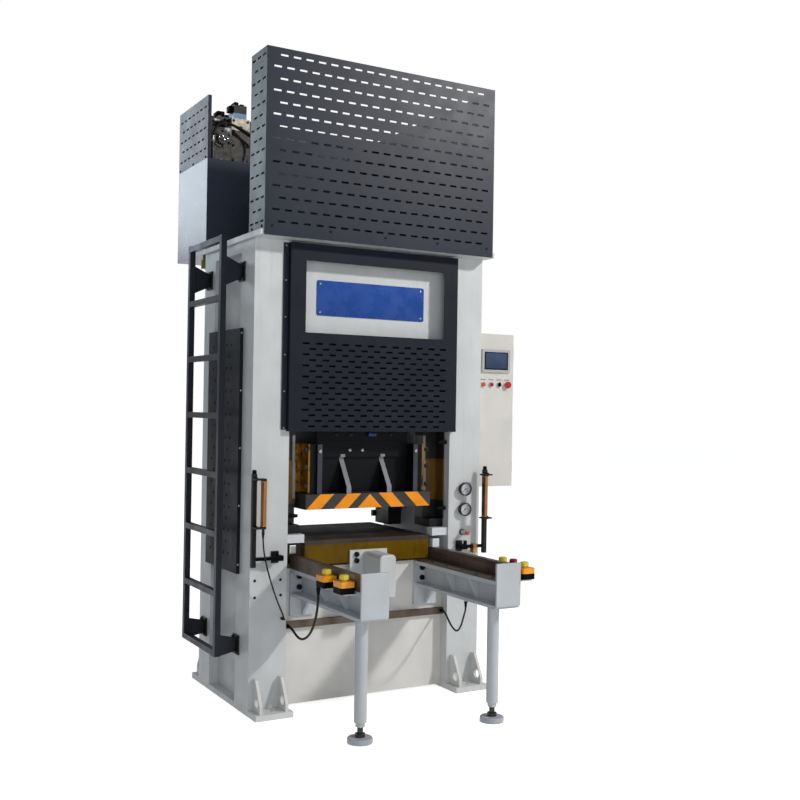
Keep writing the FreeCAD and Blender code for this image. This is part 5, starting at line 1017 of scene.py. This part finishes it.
def box_screws():
    """Four screws in the top of each button box."""
    boxes = ((-0.484, -0.83, 0.76), (-0.484, -1.012, 0.76),
             (0.484, -0.895, 0.772), (0.484, -1.077, 0.772))
    spread_out(pan_screw(0.003, 0.0014), "button_box_screws", BLACK_STEEL,
               {UPWARDS: [(x + dx, y + dy, z) for x, y, z in boxes
                          for dx in (-0.0285, 0.0285) for dy in (-0.0345, 0.0345)]})


# ---- Gauges, screen and controls ----

GAUGE_X = 0.58
DIAL_START = -135
DIAL_SWEEP = 270
CONTROL_X = [0.737 + 0.055 * step for step in range(4)]


def dial_marks(level):
    """Graduations round a dial, long at every fifth, as thin raised bars."""
    marks = []
    for step in range(41):
        long_mark = step % 5 == 0
        inner = 0.0225 if long_mark else 0.0255
        width = 0.0006 if long_mark else 0.00035
        mark = block("mark", (-width, -0.3907, inner), (width, -0.3903, 0.0285))
        turn = Matrix.Rotation(math.radians(DIAL_START + step * DIAL_SWEEP / 40), 4, "Y")
        mark.data.transform(Matrix.Translation((GAUGE_X, 0, level)) @ turn)
        marks.append(mark)
    return marks


def dial_numbers(level):
    """Plain pressure numbers on the dial."""
    numbers = []
    for step in range(0, 11, 2):
        angle = math.radians(DIAL_START + step * DIAL_SWEEP / 10)
        x = GAUGE_X + 0.0185 * math.sin(angle)
        z = level + 0.0185 * math.cos(angle)
        bpy.ops.object.text_add(location=(x, -0.3905, z), rotation=(math.radians(90), 0, 0))
        digits = bpy.context.active_object.data
        digits.body = str(step)
        digits.size = 0.0062
        digits.align_x = "CENTER"
        digits.align_y = "CENTER"
        digits.extrude = 0.0001
        bpy.ops.object.convert(target="MESH")
        numbers.append(settle("number"))
    return numbers


def gauge_parts(label, level):
    """Dial, print, rim and glass of one gauge, from the back to the front."""
    dial = bar(f"gauge_dial_{label}", 0.0325, (GAUGE_X, -0.3899, level), (GAUGE_X, -0.3904, level), ROUND)
    slope_out(dial, front_face, 0.0008, 0.0)
    fit(smooth(dial), ("dial_white", "white_pad"))
    print_work = joined(f"gauge_marks_{label}", dial_marks(level) + dial_numbers(level))
    fit(print_work, ("needle_coat", "needle_black"))
    spread_out(flat_ring(0.0372, 0.0062, 0.0025, 0.0006, ROUND), f"gauge_rim_{label}",
               ("needle_coat", "dark_steel"), {TO_FRONT: [(GAUGE_X, -0.3978, level)]})
    spread_out(flat_ring(0.032, 0.0026, 0.004, 0.0004, ROUND), f"gauge_lip_{label}",
               CHROME, {TO_FRONT: [(GAUGE_X, -0.3902, level)]})
    lens = bar(f"gauge_lens_{label}", 0.0322, (GAUGE_X, -0.3958, level), (GAUGE_X, -0.3966, level), ROUND)
    slope_out(lens, front_face, 0.003, 0.0006)
    fit(smooth(lens), ("clear_glass", "screen_plastic"))


def screen_and_controls():
    """The touch screen's glass; rings round three controls and a plain bar above all four places."""
    glass = block("screen_glass", (0.7385, -0.332, 1.7815), (0.9005, -0.33, 1.8815))
    slope_out(glass, front_face, 0.0012, 0.0)
    fit(smooth(glass), SCREEN, "door")
    spread_out(flat_ring(0.015, 0.0036, 0.0035, 0.0008), "control_bezels", BRIGHT_STEEL,
               {TO_FRONT: [(x, -0.3248, 1.695) for x in CONTROL_X[:3]]}, "door")
    labels = []
    for x in CONTROL_X:
        label = block("label", (x - 0.017, -0.3206, 1.7205), (x + 0.017, -0.32, 1.7265))
        labels.append(break_edges(label, 0.0002, 1))
    fit(joined("control_labels", labels), ("label_grey", "machined_steel"), "door")


# ---- Light curtains ----

POST_INNER = 0.648
POST_OUTER = 0.67
POST_BAR_X = 0.69
WINDOW_BOTTOM = 0.962
WINDOW_TOP = 1.176


def curtain_post_parts(side, label):
    """End caps, lens and front strip of one sensor post."""
    low, high = sorted((side * POST_INNER, side * POST_OUTER))
    caps = []
    for bottom, top in ((0.953, 0.957), (1.181, 1.185)):
        cap = block("cap", (low - 0.0004, -0.4814, bottom), (high + 0.0004, -0.4586, top))
        caps.append(break_edges(cap, 0.0006))
    fit(smooth(joined(f"curtain_caps_{label}", caps)), BLACK_PLASTIC)
    start, end = sorted((side * POST_INNER, side * POST_INNER - side * 0.001))
    lens = block(f"curtain_lens_{label}", (start, -0.4795, WINDOW_BOTTOM), (end, -0.4605, WINDOW_TOP))
    slope_out(lens, looking((-side, 0, 0)), 0.001, 0.0004)
    fit(smooth(lens), DARK_LENS)
    strip = block(f"curtain_strip_{label}", (low + 0.0002, -0.482, WINDOW_BOTTOM),
                  (low + 0.005, -0.481, WINDOW_TOP))
    slope_out(strip, front_face, 0.0006, 0.0003)
    fit(smooth(strip), DARK_LENS)


def clamp_knob():
    knob = post("clamp_knob", 0.011, 0, 0.016, 12)
    step_in(knob, up_face, 0.003, -0.003)
    return break_edges(knob, 0.0012)


def curtain_arm_parts():
    """Clamps, knobs and end caps of the bars that carry the sensor posts."""
    sleeves = both_sides((0.572, -0.4325, 0.782), (0.6785, -0.4075, 0.798), 0.002)
    sleeves += both_sides((0.53, -0.4345, 0.776), (0.5735, -0.3765, 0.803), 0.003)
    sleeves += both_sides((0.556, -0.43, 0.8032), (0.5715, -0.414, 0.824), 0.002)
    fit(joined("curtain_arm_clamps", sleeves), BLACK_PLASTIC)
    brass = panel((0.608, -0.438, 0.754), (0.634, -0.404, 0.804), 0.004, "curtain_arm_brass")
    fit(smooth(brass), ("clamp_brass", "bronze"))
    spread_out(clamp_knob(), "bar_end_caps", BLACK_PLASTIC,
               {UPWARDS: [(side * POST_BAR_X, -0.42, 1.215) for side in SIDES]})
    spread_out(clamp_knob(), "clamp_knobs", BLACK_PLASTIC,
               {TO_FRONT: [(side * POST_BAR_X, -0.434, z) for side in SIDES for z in (0.949, 1.189)]})


# ---- Stage ----


def studio_white():
    """White that glows to the camera, but lights the press only by what it throws back."""
    finish = Finish("studio_white", 0.9)
    ray = finish.add("LightPath").outputs
    direct = finish.sums("MAXIMUM", ray["Is Camera Ray"], ray["Is Glossy Ray"])
    direct = finish.sums("MAXIMUM", direct, ray["Is Transmission Ray"])
    matt = finish.add("BsdfDiffuse", Color=(0.8, 0.8, 0.8, 1.0)).outputs["BSDF"]
    glow = finish.add("Emission", Strength=0.8).outputs["Emission"]
    lit = finish.add("AddShader")
    feed(finish.tree, lit.inputs[0], matt)
    feed(finish.tree, lit.inputs[1], glow)
    pick(finish.tree, "Material Output", direct, matt, lit.outputs["Shader"])
    return FINISHES["studio_white"]


def pick(tree, output, share, first, second):
    """Show the first shader, and the second by the share."""
    blend = add_node(tree, "MixShader", Fac=share)
    feed(tree, blend.inputs[1], first)
    feed(tree, blend.inputs[2], second)
    feed(tree, tree.nodes[output].inputs["Surface"], blend.outputs["Shader"])


def lay_floor():
    bpy.ops.mesh.primitive_plane_add(size=60, location=(0, 0, -0.0005))
    floor = bpy.context.active_object
    floor.name = "studio_floor"
    floor.data.materials.append(studio_white())


def white_surround():
    """Soft light from all round, and plain white where the camera looks past the floor."""
    world = bpy.data.worlds.new("studio_surround")
    bpy.context.scene.world = world
    world.use_nodes = True
    tree = world.node_tree
    soft = tree.nodes["Background"]
    soft.inputs["Color"].default_value = (0.9, 0.95, 1.0, 1.0)
    soft.inputs["Strength"].default_value = 0.27
    white = add_node(tree, "Background", Color=(1.0, 1.0, 1.0, 1.0), Strength=1.0)
    path = add_node(tree, "LightPath")
    pick(tree, "World Output", path.outputs["Is Camera Ray"], soft.outputs["Background"],
         white.outputs["Background"])


def hang_light(name, place, target, size, power, colour):
    lamp = bpy.data.lights.new(name, "AREA")
    lamp.shape = "RECTANGLE"
    lamp.size = size[0]
    lamp.size_y = size[1]
    lamp.energy = power
    lamp.color = colour
    light = bpy.data.objects.new(name, lamp)
    light.location = place
    light.rotation_euler = (Vector(target) - Vector(place)).to_track_quat("-Z", "Y").to_euler()
    light.visible_camera = False
    bpy.context.collection.objects.link(light)


def light_the_press():
    hang_light("key_right_front", (5.2, -6.4, 6.2), (0.0, 0.0, 1.3), (0.7, 0.7), 500, (1.0, 0.985, 0.96))
    hang_light("fill_front", (-3.0, -8.5, 1.8), (0.0, 0.0, 1.0), (4.5, 3.0), 130, (0.93, 0.96, 1.0))
    hang_light("window_back_left", (-3.9, 9.0, 5.2), (-0.7, 0.4, 2.7), (4.0, 3.0), 165, (0.8, 0.91, 1.0))


# ---- Put it together ----

sheet_fasteners()
side_cover_vents()
frame_bolts()
bolts_that_move()
sheet_edges_and_linings()
slide_top()
rail_feet_and_switches()
valve_parts()
motor_parts()
tank_parts()
cord_ends()
box_screws()
gauge_parts("lower", 0.993)
gauge_parts("upper", 1.106)
screen_and_controls()
curtain_post_parts(-1, "left")
curtain_post_parts(1, "right")
curtain_arm_parts()
lay_floor()
white_surround()
light_the_press()
bpy.context.scene.view_settings.view_transform = "Standard"
